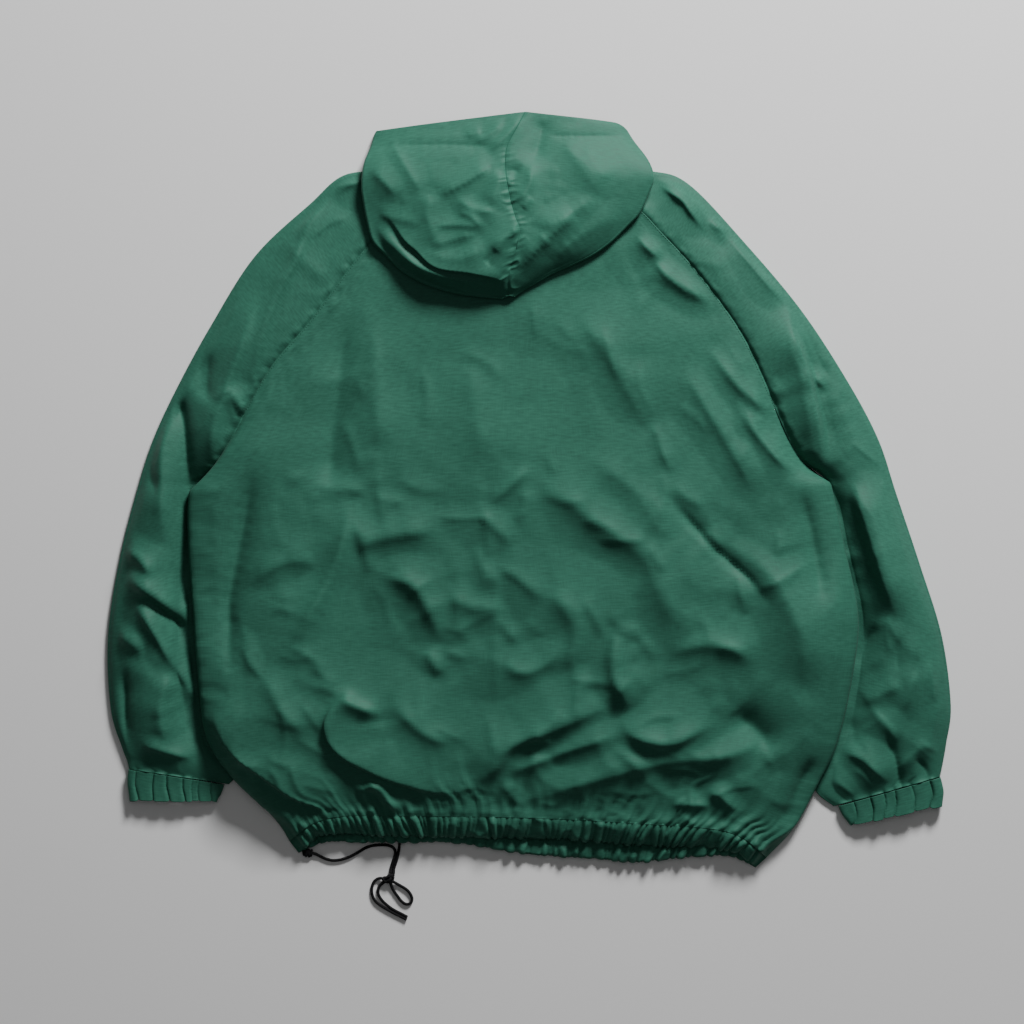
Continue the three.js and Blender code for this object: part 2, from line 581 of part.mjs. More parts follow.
function frontCasingStrip() {
  const columns = frontCasingColumns;
  const rows = [0, 0.45, 1];
  const last = frontCasing.length - 1;
  const low = rows.map((depth) => {
    const points = [];
    for (let j = 0; j <= columns; j += 1) {
      const across = j / columns;
      const i = Math.min(Math.floor(across * last), last - 1);
      const f = across * last - i;
      const [a, b] = [frontCasing[i], frontCasing[i + 1]];
      const edge = tableAt(frontCasing, across * last);
      const topX = a.topX + (b.topX - a.topX) * f;
      const topY = a.topY + (b.topY - a.topY) * f - seamGap * 1.6;
      const atEnds = smooth(0, 0.05, across) * smooth(1, 0.95, across);
      const gather = j % 2 ? casingWave * 0.7 : 0;
      points.push([topX + (edge.edgeX - topX) * depth, topY + (edge.edgeY - topY) * depth, atEnds * depth * gather]);
    }
    return points;
  });
  const wallAt = [cloth, casingWall, casingWall];
  const high = low.map((row, i) => row.map(([x, y, z], j) => {
    const nearEnd = smooth(0, 5, j) * smooth(columns, columns - 5, j);
    return [x, y, z + cloth + (wallAt[i] - cloth) * nearEnd];
  }));
  return wall(high, low);
}

// A gathered ring, lying flat: the lower side on the floor, the upper side pleated
function cuff(table) {
  const columnsPerSide = cuffPleats * 2;
  const foldColumns = 3;
  const outer = [];
  const inner = [];
  for (const row of table) {
    const side = [row.outerX, row.outerY];
    const end = [row.innerX, row.innerY];
    const length = Math.hypot(end[0] - side[0], end[1] - side[1]);
    const radius = cuffHeight / 2;
    const ringPoint = (distance, z) => {
      const f = distance / length;
      return [side[0] + (end[0] - side[0]) * f, side[1] + (end[1] - side[1]) * f, z];
    };
    const outerRow = [];
    const innerRow = [];
    for (let j = 0; j < columnsPerSide; j += 1) {
      const distance = radius + (length - 2 * radius) * (j / columnsPerSide);
      const pleat = j % 2 ? cuffWave : 0;
      outerRow.push(ringPoint(distance, cuffHeight - pleat));
      innerRow.push(ringPoint(distance, cuffHeight - pleat - cloth));
    }
    for (let j = 0; j < foldColumns; j += 1) {
      const angle = (Math.PI * j) / foldColumns;
      outerRow.push(ringPoint(length - radius + radius * Math.sin(angle), radius + radius * Math.cos(angle)));
      const size = radius - cloth;
      innerRow.push(ringPoint(length - radius + size * Math.sin(angle), radius + size * Math.cos(angle)));
    }
    for (let j = 0; j < columnsPerSide; j += 1) {
      const distance = length - radius - (length - 2 * radius) * (j / columnsPerSide);
      const pleat = j % 2 ? cuffWave : 0;
      outerRow.push(ringPoint(distance, pleat));
      innerRow.push(ringPoint(distance, pleat + cloth));
    }
    for (let j = 0; j < foldColumns; j += 1) {
      const angle = Math.PI + (Math.PI * j) / foldColumns;
      outerRow.push(ringPoint(radius + radius * Math.sin(angle), radius + radius * Math.cos(angle)));
      const size = radius - cloth;
      innerRow.push(ringPoint(radius + size * Math.sin(angle), radius + size * Math.cos(angle)));
    }
    outer.push(outerRow);
    inner.push(innerRow);
  }
  return wall(outer, inner, true);
}

// What the under layer of the hood lies on: the floor beyond the neck, else the back
function underHood(x, y) {
  if (y > frontNeckY) return 0;
  return Math.max(hoodLift, backUnderside(x, y, seamLoft) + cloth + 1.2);
}

function hoodHalf(sideName, outward) {
  const outer = [];
  const inner = [];
  hoodSections.forEach((row, i) => {
    const radius = i < 9 ? foldRadius : foldRadius - (i - 8) * 0.26;
    const atNeck = i >= neckOpening.firstSection && i <= neckOpening.lastSection;
    const openX = outward < 0 ? neckOpening.leftX : neckOpening.rightX;
    const seamX = row.seamX + outward * seamGap;
    const section = foldedSection({
      side: [row[`${sideName}X`], row[`${sideName}Y`]],
      topEnd: [seamX, row.seamY],
      lowEnd: [atNeck ? openX : seamX, row.underY],
      radius,
      counts: { low: 3, fold: 4, top: 11 },
      under: underHood,
      upper: (f, x, y, foldTop) => {
        const crown = foldTop + (row.crown - foldTop) * (1 - Math.exp(-f * 4)) / (1 - Math.exp(-4));
        return crown + smooth(0, 0.15, f) * smooth(13, 11, i) * foldHeight(hoodFolds, x, y);
      },
    });
    outer.push(section.outer);
    inner.push(section.inner);
  });
  return wall(outer, inner);
}

// A cord along a route, and a knot as a rounded lump
function cordTube(points) {
  const path = new THREE.CatmullRomCurve3(points.map(([x, y, z]) => new THREE.Vector3(x, y, z)));
  const section = new THREE.Shape();
  for (let i = 0; i < cordSides; i += 1) {
    const angle = (2 * Math.PI * i) / cordSides;
    const [x, y] = [(cordDiameter / 2) * Math.cos(angle), (cordDiameter / 2) * Math.sin(angle)];
    if (i === 0) section.moveTo(x, y);
    else section.lineTo(x, y);
  }
  return new THREE.ExtrudeGeometry(section, {
    steps: (points.length - 1) * cordStepsPerPoint,
    extrudePath: path,
    bevelEnabled: false,
  });
}

function lump({ x, y, width, depth, height }) {
  const geometry = new THREE.SphereGeometry(0.5, 12, 8);
  geometry.rotateX(Math.PI / 2);
  geometry.scale(width, depth, height);
  geometry.translate(x, y, height / 2);
  return geometry;
}

const anorak = new THREE.Group();
function add(name, geometry, material) {
  const mesh = new THREE.Mesh(geometry, material);
  mesh.name = name;
  anorak.add(mesh);
}

const grid = backGrid();
add('back_panel', backPanel(grid), green);
add('front_panel', frontPanel(), green);
add('sleeve_left', sleeve(leftSleeve, leftSleeveFolds, -1), green);
add('sleeve_right', sleeve(rightSleeve, rightSleeveFolds, 1), green);
add('cuff_left', cuff(leftCuff), green);
add('cuff_right', cuff(rightCuff), green);
add('hem_casing_back', backCasingStrip(grid), greenHem);
add('hem_casing_front', frontCasingStrip(), greenHem);
add('hood_left', hoodHalf('left', -1), green);
add('hood_right', hoodHalf('right', 1), green);
for (const route of cordRoutes) add(route.name, cordTube(route.points), black);
add('drawcord_knot', lump(knot), black);
add('drawcord_end_knot', lump(endKnot), black);

export default anorak;
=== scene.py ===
import math

import bmesh
import bpy
import numpy as np
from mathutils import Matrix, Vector


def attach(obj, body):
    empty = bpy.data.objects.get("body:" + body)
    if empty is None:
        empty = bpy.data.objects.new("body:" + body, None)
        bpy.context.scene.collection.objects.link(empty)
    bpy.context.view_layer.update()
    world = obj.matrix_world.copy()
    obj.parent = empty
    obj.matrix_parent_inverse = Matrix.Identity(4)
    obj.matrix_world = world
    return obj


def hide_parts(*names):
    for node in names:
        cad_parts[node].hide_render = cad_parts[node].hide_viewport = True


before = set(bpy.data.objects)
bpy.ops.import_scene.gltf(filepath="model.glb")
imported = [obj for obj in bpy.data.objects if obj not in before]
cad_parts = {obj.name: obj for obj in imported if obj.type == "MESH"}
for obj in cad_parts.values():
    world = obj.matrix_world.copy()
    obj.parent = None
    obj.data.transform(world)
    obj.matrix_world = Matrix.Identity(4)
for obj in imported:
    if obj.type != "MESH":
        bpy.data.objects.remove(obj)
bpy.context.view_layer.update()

mm = 0.001
print("frame loaded")


def addObject(name, data):
    item = bpy.data.objects.new(name, data)
    bpy.context.scene.collection.objects.link(item)
    return item


def endMesh(bm, name):
    mesh = bpy.data.meshes.new(name)
    bm.to_mesh(mesh)
    bm.free()
    return mesh


def addPiece(name, mesh):  # a smooth piece on the garment's only body
    mesh.polygons.foreach_set("use_smooth", np.ones(len(mesh.polygons), bool))
    piece = addObject(name, mesh)
    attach(piece, "root")
    print("made", name, len(mesh.polygons), "faces")
    return piece


# camera, straight above the garment

cameraView = {"height": 4.0, "lens": 127.84, "centreX": -0.0176, "centreY": -0.0242}

cameraData = bpy.data.cameras.new("camera")
cameraData.lens = cameraView["lens"]
cameraData.sensor_width = 36
camera = addObject("camera", cameraData)
camera.location = (cameraView["centreX"], cameraView["centreY"], cameraView["height"])
bpy.context.scene.camera = camera


# curves and fields, all in millimetres

def curveThrough(points, count):  # a smooth curve through given points
    p = np.array(points, float)
    t = np.linspace(0, len(p) - 1, count)
    i = np.minimum(t.astype(int), len(p) - 2)
    f = (t - i)[:, None]
    a, b, c, d = p[np.maximum(i - 1, 0)], p[i], p[i + 1], p[np.minimum(i + 2, len(p) - 1)]
    return b + 0.5 * f * (c - a + f * (2 * a - 5 * b + 4 * c - d + f * (3 * b - a - 3 * c + d)))


def evenCurve(points, count, power=1.0):  # the same curve with its points at even distances
    dense = curveThrough(points, len(points) * 24)
    steps = np.linalg.norm(np.diff(dense[:, :2], axis=0), axis=1)
    length = np.concatenate([[0], np.cumsum(steps)])
    at = length[-1] * np.linspace(0, 1, count) ** power
    return np.stack([np.interp(at, length, dense[:, k]) for k in range(dense.shape[1])], axis=1)


def pick(curve, v):  # a curve's points at v from 0 to 1
    at = np.clip(v, 0, 1) * (len(curve) - 1)
    i = np.minimum(at.astype(int), len(curve) - 2)
    f = (at - i)[:, None]
    return curve[i] * (1 - f) + curve[i + 1] * f


def smoothStep(low, high, value):  # from 0 at low to 1 at high, low may be the larger one
    f = np.clip((value - low) / (high - low), 0, 1)
    return f * f * (3 - 2 * f)


def softNoise(x, y, size, stretch=1.0, angle=0.0, seed=1):  # from -1 to 1, longer along angle
    table = np.random.default_rng(seed).uniform(-1, 1, (64, 64))
    c, s = math.cos(angle), math.sin(angle)
    a = (x * c + y * s) / (size * stretch) + 17.3
    b = (y * c - x * s) / size + 9.7
    i, j = np.floor(a).astype(int), np.floor(b).astype(int)
    f, g = a - i, b - j
    f, g = f * f * f * (f * (f * 6 - 15) + 10), g * g * g * (g * (g * 6 - 15) + 10)
    i0, i1, j0, j1 = i % 64, (i + 1) % 64, j % 64, (j + 1) % 64
    low = table[i0, j0] * (1 - f) + table[i1, j0] * f
    high = table[i0, j1] * (1 - f) + table[i1, j1] * f
    return low * (1 - g) + high * g


def wrinkles(x, y, size, stretch, angle, seed):  # narrow crests with soft hollows between them
    bend = 0.35 * size * softNoise(x, y, size * 2.2, 1.0, 0.0, seed + 50)
    return 0.6 - np.abs(softNoise(x + bend, y - bend, size, stretch, angle, seed)) * 2


# A fold is (line, height, soft, steep, push): it falls softly to the left of its line and
# steeply to the right, and its crest leans over to the right by push.
def foldField(folds, x, y, width=1.0, rounding=0.5):
    shift = np.zeros((3, len(x)))
    for line, height, soft, steep, push in folds:
        soft, steep = soft * width, steep * width
        path = curveThrough(line, 6 * (len(line) - 1) + 1)
        reach = 3 * max(soft, steep)
        low, high = path.min(axis=0) - reach, path.max(axis=0) + reach
        near = np.flatnonzero((x > low[0]) & (x < high[0]) & (y > low[1]) & (y < high[1]))
        if not len(near):
            continue
        px, py = x[near][None, :], y[near][None, :]
        startX, startY = path[:-1].T[:, :, None]
        stepX, stepY = np.diff(path, axis=0).T[:, :, None]
        size = np.hypot(stepX, stepY)
        t = np.clip(((px - startX) * stepX + (py - startY) * stepY) / size**2, 0, 1)
        ex, ey = px - startX - t * stepX, py - startY - t * stepY
        away = np.hypot(ex, ey)
        share = np.exp((away.min(axis=0) - away) / 2)     # mixes the nearest parts of the line
        along = (np.arange(len(path) - 1)[:, None] + t) / (len(path) - 1)
        taper = smoothStep(0, 0.3, along) * smoothStep(1, 0.7, along) * share / share.sum(axis=0)
        left = stepX * ey - stepY * ex >= 0
        ridge = rounding + 0.15 * steep
        crest = np.maximum(np.hypot(away, ridge) - ridge, 0)
        profile = np.where(left, np.exp(-((crest / soft) ** 1.3)), np.exp(-((crest / steep) ** 1.15)))
        shift[2, near] += height * (taper * profile).sum(axis=0)
        if push:
            lean = np.exp(-((away / (0.7 * np.where(left, soft, steep))) ** 2))
            shift[0, near] += push * (taper * lean * stepY / size).sum(axis=0)
            shift[1, near] -= push * (taper * lean * stepX / size).sum(axis=0)
    return shift


# Loose cloth settles into flat facets with crisp ridges between them: each step turns the
# slopes towards their local average while the bending stiffness rounds the ridges.
def relaxCreases(height, cell, bend, steps, pull=0.002, blur=16):
    rows, columns = height.shape
    kx, ky = math.tau * np.fft.rfftfreq(columns, cell), math.tau * np.fft.fftfreq(rows, cell)
    waves = kx[None, :] ** 2 + ky[:, None] ** 2

    def slopes(h):
        across = (np.roll(h, -1, 1) - np.roll(h, 1, 1)) / (2 * cell)
        down = (np.roll(h, -1, 0) - np.roll(h, 1, 0)) / (2 * cell)
        return across, down

    gx, gy = slopes(height)
    wished = np.fft.irfft2(np.fft.rfft2(gx * gx + gy * gy) * np.exp(-waves * blur**2 / 2), s=height.shape)
    wished = np.maximum(wished, 0.0004)     # squared slopes, never nil, so they can be divided by
    step, damping = 4.0, 1.2
    lower = 1 + step * (bend * waves**2 + damping * waves + pull)
    target = height.copy()
    for _ in range(steps):
        gx, gy = slopes(height)
        excess = np.clip((gx * gx + gy * gy) / wished - 1, -1, 2)
        fx, fy = excess * gx, excess * gy
        flow = (np.roll(fx, -1, 1) - np.roll(fx, 1, 1) + np.roll(fy, -1, 0) - np.roll(fy, 1, 0)) / (2 * cell)
        wave = np.fft.rfft2(height + step * (flow + pull * target))
        wave = wave + step * damping * waves * np.fft.rfft2(height)
        height = np.fft.irfft2(wave / lower, s=height.shape)
    return height


# A grid of heights: the folds and some noise after settling, and the folds again on top, narrower
# and crisp. The noise has the height swell and lies along lean.
def creaseField(low, high, cell, folds, gain, swell, seed, lean, bend=1, steps=90, crisp=1.0,
                rounding=0.5, narrow=0.65):
    xs, ys = np.arange(low[0], high[0], cell), np.arange(low[1], high[1], cell)
    x, y = (part.ravel() for part in np.meshgrid(xs, ys))
    noise = softNoise(x, y, 80, 1.7, lean, seed) + 0.5 * softNoise(x, y, 42, 1.6, lean + 0.6, seed + 1)
    noise = noise + 0.18 * softNoise(x, y, 21, 1.6, lean - 0.6, seed + 2)
    start = foldField(folds, x, y, 1.0, rounding)[2] * gain + swell(x, y) * noise
    settled = relaxCreases(start.reshape(len(ys), len(xs)), cell, bend, steps)
    lines = foldField(folds, x, y, narrow, rounding)[2]
    return settled + crisp * lines.reshape(settled.shape), low, cell


smallFold = {"turn": 0.7, "half": (12, 36), "bow": 0.25, "share": (0.4, 1), "soft": (6, 11),
             "steep": (3, 4.5)}


def smallFolds(count, low, high, height, lean, seed):  # short creases among the main ones
    rng = np.random.default_rng(seed)
    made = []
    for _ in range(count):
        x = rng.uniform(low[0], high[0])
        y = low[1] + (high[1] - low[1]) * rng.uniform(0, 1) ** 1.4      # more of them low down
        middle = np.array([x, y])
        angle = lean + rng.normal(0, smallFold["turn"])
        ahead = np.array([math.cos(angle), math.sin(angle)]) * rng.uniform(*smallFold["half"])
        side = np.array([-ahead[1], ahead[0]]) * rng.uniform(-smallFold["bow"], smallFold["bow"])
        line = [tuple(middle - ahead), tuple(middle + side), tuple(middle + ahead)]
        size = height * rng.uniform(*smallFold["share"])
        made.append((line, size, rng.uniform(*smallFold["soft"]), rng.uniform(*smallFold["steep"]), 0))
    return made


def sampleField(field, x, y):  # a grid's heights between its points, smooth across them
    grid, low, cell = field
    a = np.clip((x - low[0]) / cell, 1, grid.shape[1] - 3)
    b = np.clip((y - low[1]) / cell, 1, grid.shape[0] - 3)
    i, j = a.astype(int), b.astype(int)

    def weights(f):
        return (f * (f * (2 - f) - 1) / 2, (f * f * (3 * f - 5) + 2) / 2, f * (f * (4 - 3 * f) + 1) / 2,
                f * f * (f - 1) / 2)

    across, down = weights(a - i), weights(b - j)
    return sum(down[m] * across[n] * grid[j + m - 1, i + n - 1] for m in range(4) for n in range(4))


# Gathers are round puffs between sharp valleys, each with its own width, height and length.
def gatherSet(length, spacing, height, reach, seed):
    rng = np.random.default_rng(seed)
    widths = spacing * rng.uniform(0.3, 1.05, int(length / spacing * 1.6) + 4) ** 1.3 * 1.6
    valleys = np.concatenate([[0], np.cumsum(widths)])
    return pleatSet(valleys, height, reach, seed)


def pleatSet(valleys, height, reach, seed):  # the same with its valleys given
    valleys = np.array(valleys, float)
    rng = np.random.default_rng(seed)
    widths = np.diff(valleys, append=2 * valleys[-1] - valleys[-2])
    size = rng.uniform(0.5, 1.2, len(valleys)) * np.sqrt(widths / widths.mean())
    size = size * (0.9 + 0.5 * softNoise(valleys, 0 * widths, 45, seed=seed))
    return valleys, height * np.minimum(size, 1.3), reach * rng.uniform(0.4, 1.5, len(valleys)), seed


def gatherField(gathers, along, away, sharp=2.4):
    valleys, heights, reaches, seed = gathers
    bent = along + 0.22 * np.maximum(away, 0) * softNoise(along, away, 30, 1, 0, seed)
    i = np.clip(np.searchsorted(valleys, bent) - 1, 0, len(valleys) - 2)
    t = np.clip((bent - valleys[i]) / (valleys[i + 1] - valleys[i]), 0, 1)
    puff = 1 - np.abs(2 * t - 1) ** sharp
    return heights[i] * puff * np.exp(-((np.maximum(away, 0) / reaches[i]) ** 1.4))


# A sheet of cloth with a wall. place says where each point of a flat grid lies, and size is the
# sheet's size in metres for the weave.
def clothSheet(name, columns, rows, place, size, flip=False, ring=False, thickness=0.8):
    bm = bmesh.new()
    bm.loops.layers.uv.new("UVMap")
    bmesh.ops.create_grid(bm, x_segments=columns, y_segments=rows, size=0.5, calc_uvs=True)
    if flip:
        bmesh.ops.reverse_faces(bm, faces=bm.faces[:])
    mesh = endMesh(bm, name)
    flat = np.empty(len(mesh.vertices) * 3)
    mesh.vertices.foreach_get("co", flat)
    grid = flat.reshape(-1, 3)
    x, y, z = place(grid[:, 0] + 0.5, grid[:, 1] + 0.5)
    z = np.maximum(z, thickness)      # the cloth's own thickness stays above the floor
    mesh.vertices.foreach_set("co", np.stack([x, y, z], axis=1).ravel() * mm)
    uv = np.empty(len(mesh.loops) * 2)
    mesh.uv_layers[0].data.foreach_get("uv", uv)
    uv = uv.reshape(-1, 2) * np.array(size)
    mesh.uv_layers[0].data.foreach_set("uv", uv.ravel())
    if ring:    # its first and last columns are sewn together
        bm = bmesh.new()
        bm.from_mesh(mesh)
        bmesh.ops.remove_doubles(bm, verts=bm.verts[:], dist=0.02 * mm)
        bm.to_mesh(mesh)
        bm.free()
    mesh.update()
    sheet = addPiece(name, mesh)
    wall = sheet.modifiers.new("wall", "SOLIDIFY")
    wall.thickness = thickness * mm
    wall.offset = -1
    return sheet


# a line of points a little above a sheet, for stitches
def lineOn(place, u, v):
    count = max(np.size(u), np.size(v))
    x, y, z = place(np.full(count, u) if np.isscalar(u) else u, np.full(count, v) if np.isscalar(v) else v)
    return np.stack([x, y, z + 0.2], axis=1)


# drawcord

cordPiece = {
    "diameter": 3.2,
    "loopStrand": [
        (-237, -399.2, 3), (-233, -400.3, 2.4), (-228, -403, 1.6), (-221, -406, 1.3), (-213, -407.3, 1.3),
        (-204, -406, 1.3), (-195, -402.8, 1.3), (-187, -398.5, 1.3), (-179, -393.6, 1.8), (-171, -391, 2.2),
        (-163, -390.2, 2.2), (-155, -390.4, 2.2), (-149, -392.6, 2), (-146, -397, 1.6), (-146.6, -403, 1.3),
        (-148.6, -409, 1.3), (-150.4, -415, 1.6), (-150.9, -418.6, 2.5), (-151, -421.2, 3.4)],
    "dropStrand": [
        (-141.5, -387.5, 5), (-141.4, -391, 3.2), (-142, -395.5, 1.8), (-142.9, -400.5, 1.3),
        (-144.2, -406, 1.3), (-146, -411.5, 1.3), (-147.3, -416, 1.6), (-147.7, -419.4, 2.6),
        (-147.8, -422, 3.4)],
    "bow": [
        (-149.8, -429.4, 3.6), (-147, -431.2, 3), (-144, -433, 2.2), (-140.5, -435, 1.3),
        (-136, -437.6, 1.3), (-131.8, -441, 1.3), (-128.8, -445.2, 1.3), (-127.5, -449.6, 1.3),
        (-128.6, -453.4, 1.3), (-131.8, -455.4, 1.3), (-136, -454.6, 1.3), (-140, -451.2, 1.3),
        (-143.4, -446.6, 1.3), (-146.8, -442, 1.3), (-149.3, -437.6, 2), (-150.9, -433, 3),
        (-151.6, -430, 3.6)],
    "tailOuter": [
        (-160.6, -426.8, 3.4), (-162.8, -426.9, 2.4), (-165.8, -427.8, 1.3), (-169.2, -430.6, 1.3),
        (-171.3, -435.4, 1.3), (-171.9, -441, 1.3), (-170.8, -446.8, 1.3), (-168, -451.8, 1.3),
        (-163.6, -455.8, 1.3), (-158, -459.4, 1.3), (-152, -462.8, 1.3), (-146, -466, 1.3),
        (-140, -469, 1.3), (-133.5, -472.4, 1.3)],
    "tailInner": [
        (-156, -429.6, 3.6), (-158.5, -431.1, 3), (-161.4, -433.4, 2.1), (-163.9, -436.4, 1.4),
        (-164.9, -440.2, 1.4), (-164.4, -444.6, 1.4), (-162.2, -449, 1.4), (-158.8, -453, 1.4),
        (-154.6, -456.8, 1.4), (-149.8, -460.4, 1.4), (-144.6, -463.4, 1.4), (-139, -466.2, 1.4),
        (-132.6, -469.6, 1.4)],
}


def makeCord(name, points, width):  # a round cord as a mesh tube, and the line that it follows
    path = curveThrough(points, 4 * (len(points) - 1) + 1) * mm
    path[:, 2] = np.maximum(path[:, 2], width / 2 * mm)
    data = bpy.data.curves.new(name, "CURVE")
    data.dimensions = "3D"
    data.bevel_depth = width / 2 * mm
    data.bevel_resolution = 4
    data.use_fill_caps = True
    spline = data.splines.new("POLY")
    spline.points.add(len(path) - 1)
    for point, place in zip(spline.points, path):
        point.co = (*place, 1)
    curve = addObject(name, data)
    tube = bpy.data.meshes.new_from_object(curve.evaluated_get(bpy.context.evaluated_depsgraph_get()))
    bpy.data.objects.remove(curve)
    cord = addObject(name, tube)
    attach(cord, "root")
    return cord, path


def makeKnot(name, wraps, width):  # a knot as a few turns of the same cord, drawn tight
    bm = bmesh.new()
    for centre, radiusX, radiusY, tilt, turn in wraps:
        ring = bmesh.ops.create_circle(bm, segments=10, radius=width / 2 * mm, cap_ends=False)
        for vert in ring["verts"]:
            vert.co = Vector((vert.co.x + radiusX * mm, 0, vert.co.y))
        edges = list(dict.fromkeys(edge for vert in ring["verts"] for edge in vert.link_edges))
        bmesh.ops.spin(bm, geom=ring["verts"] + edges, cent=(0, 0, 0), axis=(0, 0, 1),
                       angle=math.tau, steps=28, use_merge=True)
        for vert in [v for v in bm.verts if not v.tag]:     # the other turns are in place already
            x, y, z = vert.co.x, vert.co.y * radiusY / radiusX, vert.co.z
            y, z = y * math.cos(tilt) - z * math.sin(tilt), y * math.sin(tilt) + z * math.cos(tilt)
            x, y = x * math.cos(turn) - y * math.sin(turn), x * math.sin(turn) + y * math.cos(turn)
            vert.co = Vector((x + centre[0] * mm, y + centre[1] * mm, max(z + centre[2] * mm, 0.2 * mm)))
            vert.tag = True
    bmesh.ops.recalc_face_normals(bm, faces=bm.faces[:])
    bm.verts.index_update()
    count = len(bm.verts)

    def faceOrder(face):  # by its corners, because the order that spin leaves changes from run to run
        corners = [vert.index for vert in face.verts]
        return min(corners) * count + max(corners)

    bm.faces.sort(key=faceOrder)
    return addPiece(name, endMesh(bm, name))


# each turn of cord: its middle, its two radii, its tilt and its turn on the floor
knotPiece = {
    "bow": [((-152.6, -427, 3.8), 4.6, 3.0, 0.5, 0.3), ((-150.9, -424, 3.4), 3.0, 2.0, 1.2, 0.2),
            ((-155.6, -428.4, 3.3), 3.8, 2.6, -0.5, -0.4), ((-150.4, -429.2, 3.3), 2.8, 2.2, 0.9, 1.2),
            ((-153, -427.4, 4.2), 2.6, 2.2, -0.9, 0.8)],
    "end": [((-246.4, -398.4, 3), 2.4, 1.2, 1.57, 1.7), ((-243.6, -398.8, 3.1), 3.4, 1.6, 1.57, 1.45),
            ((-240.9, -399, 3.1), 3.5, 1.6, 1.57, 1.65), ((-238.3, -399, 3), 2.8, 1.4, 1.57, 1.4)],
}
bowKnot = makeKnot("cordKnot", knotPiece["bow"], cordPiece["diameter"])
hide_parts("drawcord_knot")
endKnot = makeKnot("cordEndKnot", knotPiece["end"], cordPiece["diameter"])
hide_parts("drawcord_end_knot")
cords = [bowKnot, endKnot]
for key, node, farEnd, pieces in (
        ("loopStrand", "drawcord_loop_strand", "knot", [endKnot]),
        ("dropStrand", "drawcord_drop_strand", "knot", [bowKnot]),
        ("bow", "drawcord_bow", "knot", []),
        ("tailOuter", "drawcord_tail_outer", "bare", []),
        ("tailInner", "drawcord_tail_inner", "bare", [])):
    cord, path = makeCord(node.replace("drawcord", "cord"), cordPiece[key], cordPiece["diameter"])
    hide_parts(node)
    cords.append(cord)
print("cords made")


# outlines shared by the pieces, from the neck down

outline = {
    "leftRaglan": [(-108, 326), (-150, 296), (-190, 250), (-239, 185), (-280, 137), (-310, 86), (-341, 30),
                   (-369, -2)],
    "rightRaglan": [(74, 326), (118, 309), (146, 282), (190, 233), (236, 168), (268, 100), (298, 38),
                    (330, 8)],
    "leftSide": [(-369, -2), (-368, -60), (-363, -132), (-357, -210), (-348, -272), (-321, -315),
                 (-281, -356), (-262, -386)],
    "rightSide": [(330, 8), (345, -62), (360, -140), (352, -212), (336, -280), (316, -323), (290, -372),
                  (262, -404)],
    "backHem": [(-262, -386), (-236, -366), (-200, -357), (-130, -357), (-40, -358), (50, -361), (130, -366),
                (200, -371), (234, -381), (262, -404)],
    "backEdge": [(-252, -399), (-226, -380), (-198, -378), (-130, -380), (-40, -382), (50, -384),
                 (130, -390), (200, -393), (231, -399), (250, -415)],
    "frontHem": [(-262, -386), (-225, -372), (-165, -364), (-80, -364), (0, -374), (80, -380), (120, -383),
                 (165, -379), (220, -379), (262, -404)],
    "frontEdge": [(-252, -399), (-222, -387), (-165, -387), (-80, -388), (0, -400), (80, -406), (120, -409),
                  (165, -404), (220, -402), (250, -415)],
}
raglanShare = 0.36   # share of the back's rows that lie above the underarms
hemLength = 560      # along the gathered hem, for the back and for the front
seamEdge = {"low": 1.8, "rise": 15.2, "cloth": 1.5}    # heights of the back's edge and its cloth
sides = ("left", "right")


def bodyEnds(side):  # a body panel's edge, from the hem up the side seam and the raglan
    seam = evenCurve(outline[side + "Side"][::-1], 192, 1.15)
    return np.concatenate([seam, evenCurve(outline[side + "Raglan"][::-1], 109)[1:]])


leftEnds, rightEnds = bodyEnds("left"), bodyEnds("right")
hemCurve = evenCurve(outline["backHem"], 300)


def bodyFlat(u, v, hemLine):  # a body panel's points between its edges, and its width there
    left, right, hem = pick(leftEnds, v), pick(rightEnds, v), pick(hemLine, u)
    across, down = u[:, None], ((1 - v) ** 6)[:, None]
    straight = hemCurve[0] * (1 - across) + hemCurve[-1] * across
    return left * (1 - across) + right * across + down * (hem - straight), right[:, 0] - left[:, 0]


def edgeLift(v):  # the back's edge lies on the front at the side seams and is lifted at the raglans
    return seamEdge["low"] + seamEdge["rise"] * smoothStep(1 - raglanShare, 1 - raglanShare + 0.12, v)


# back

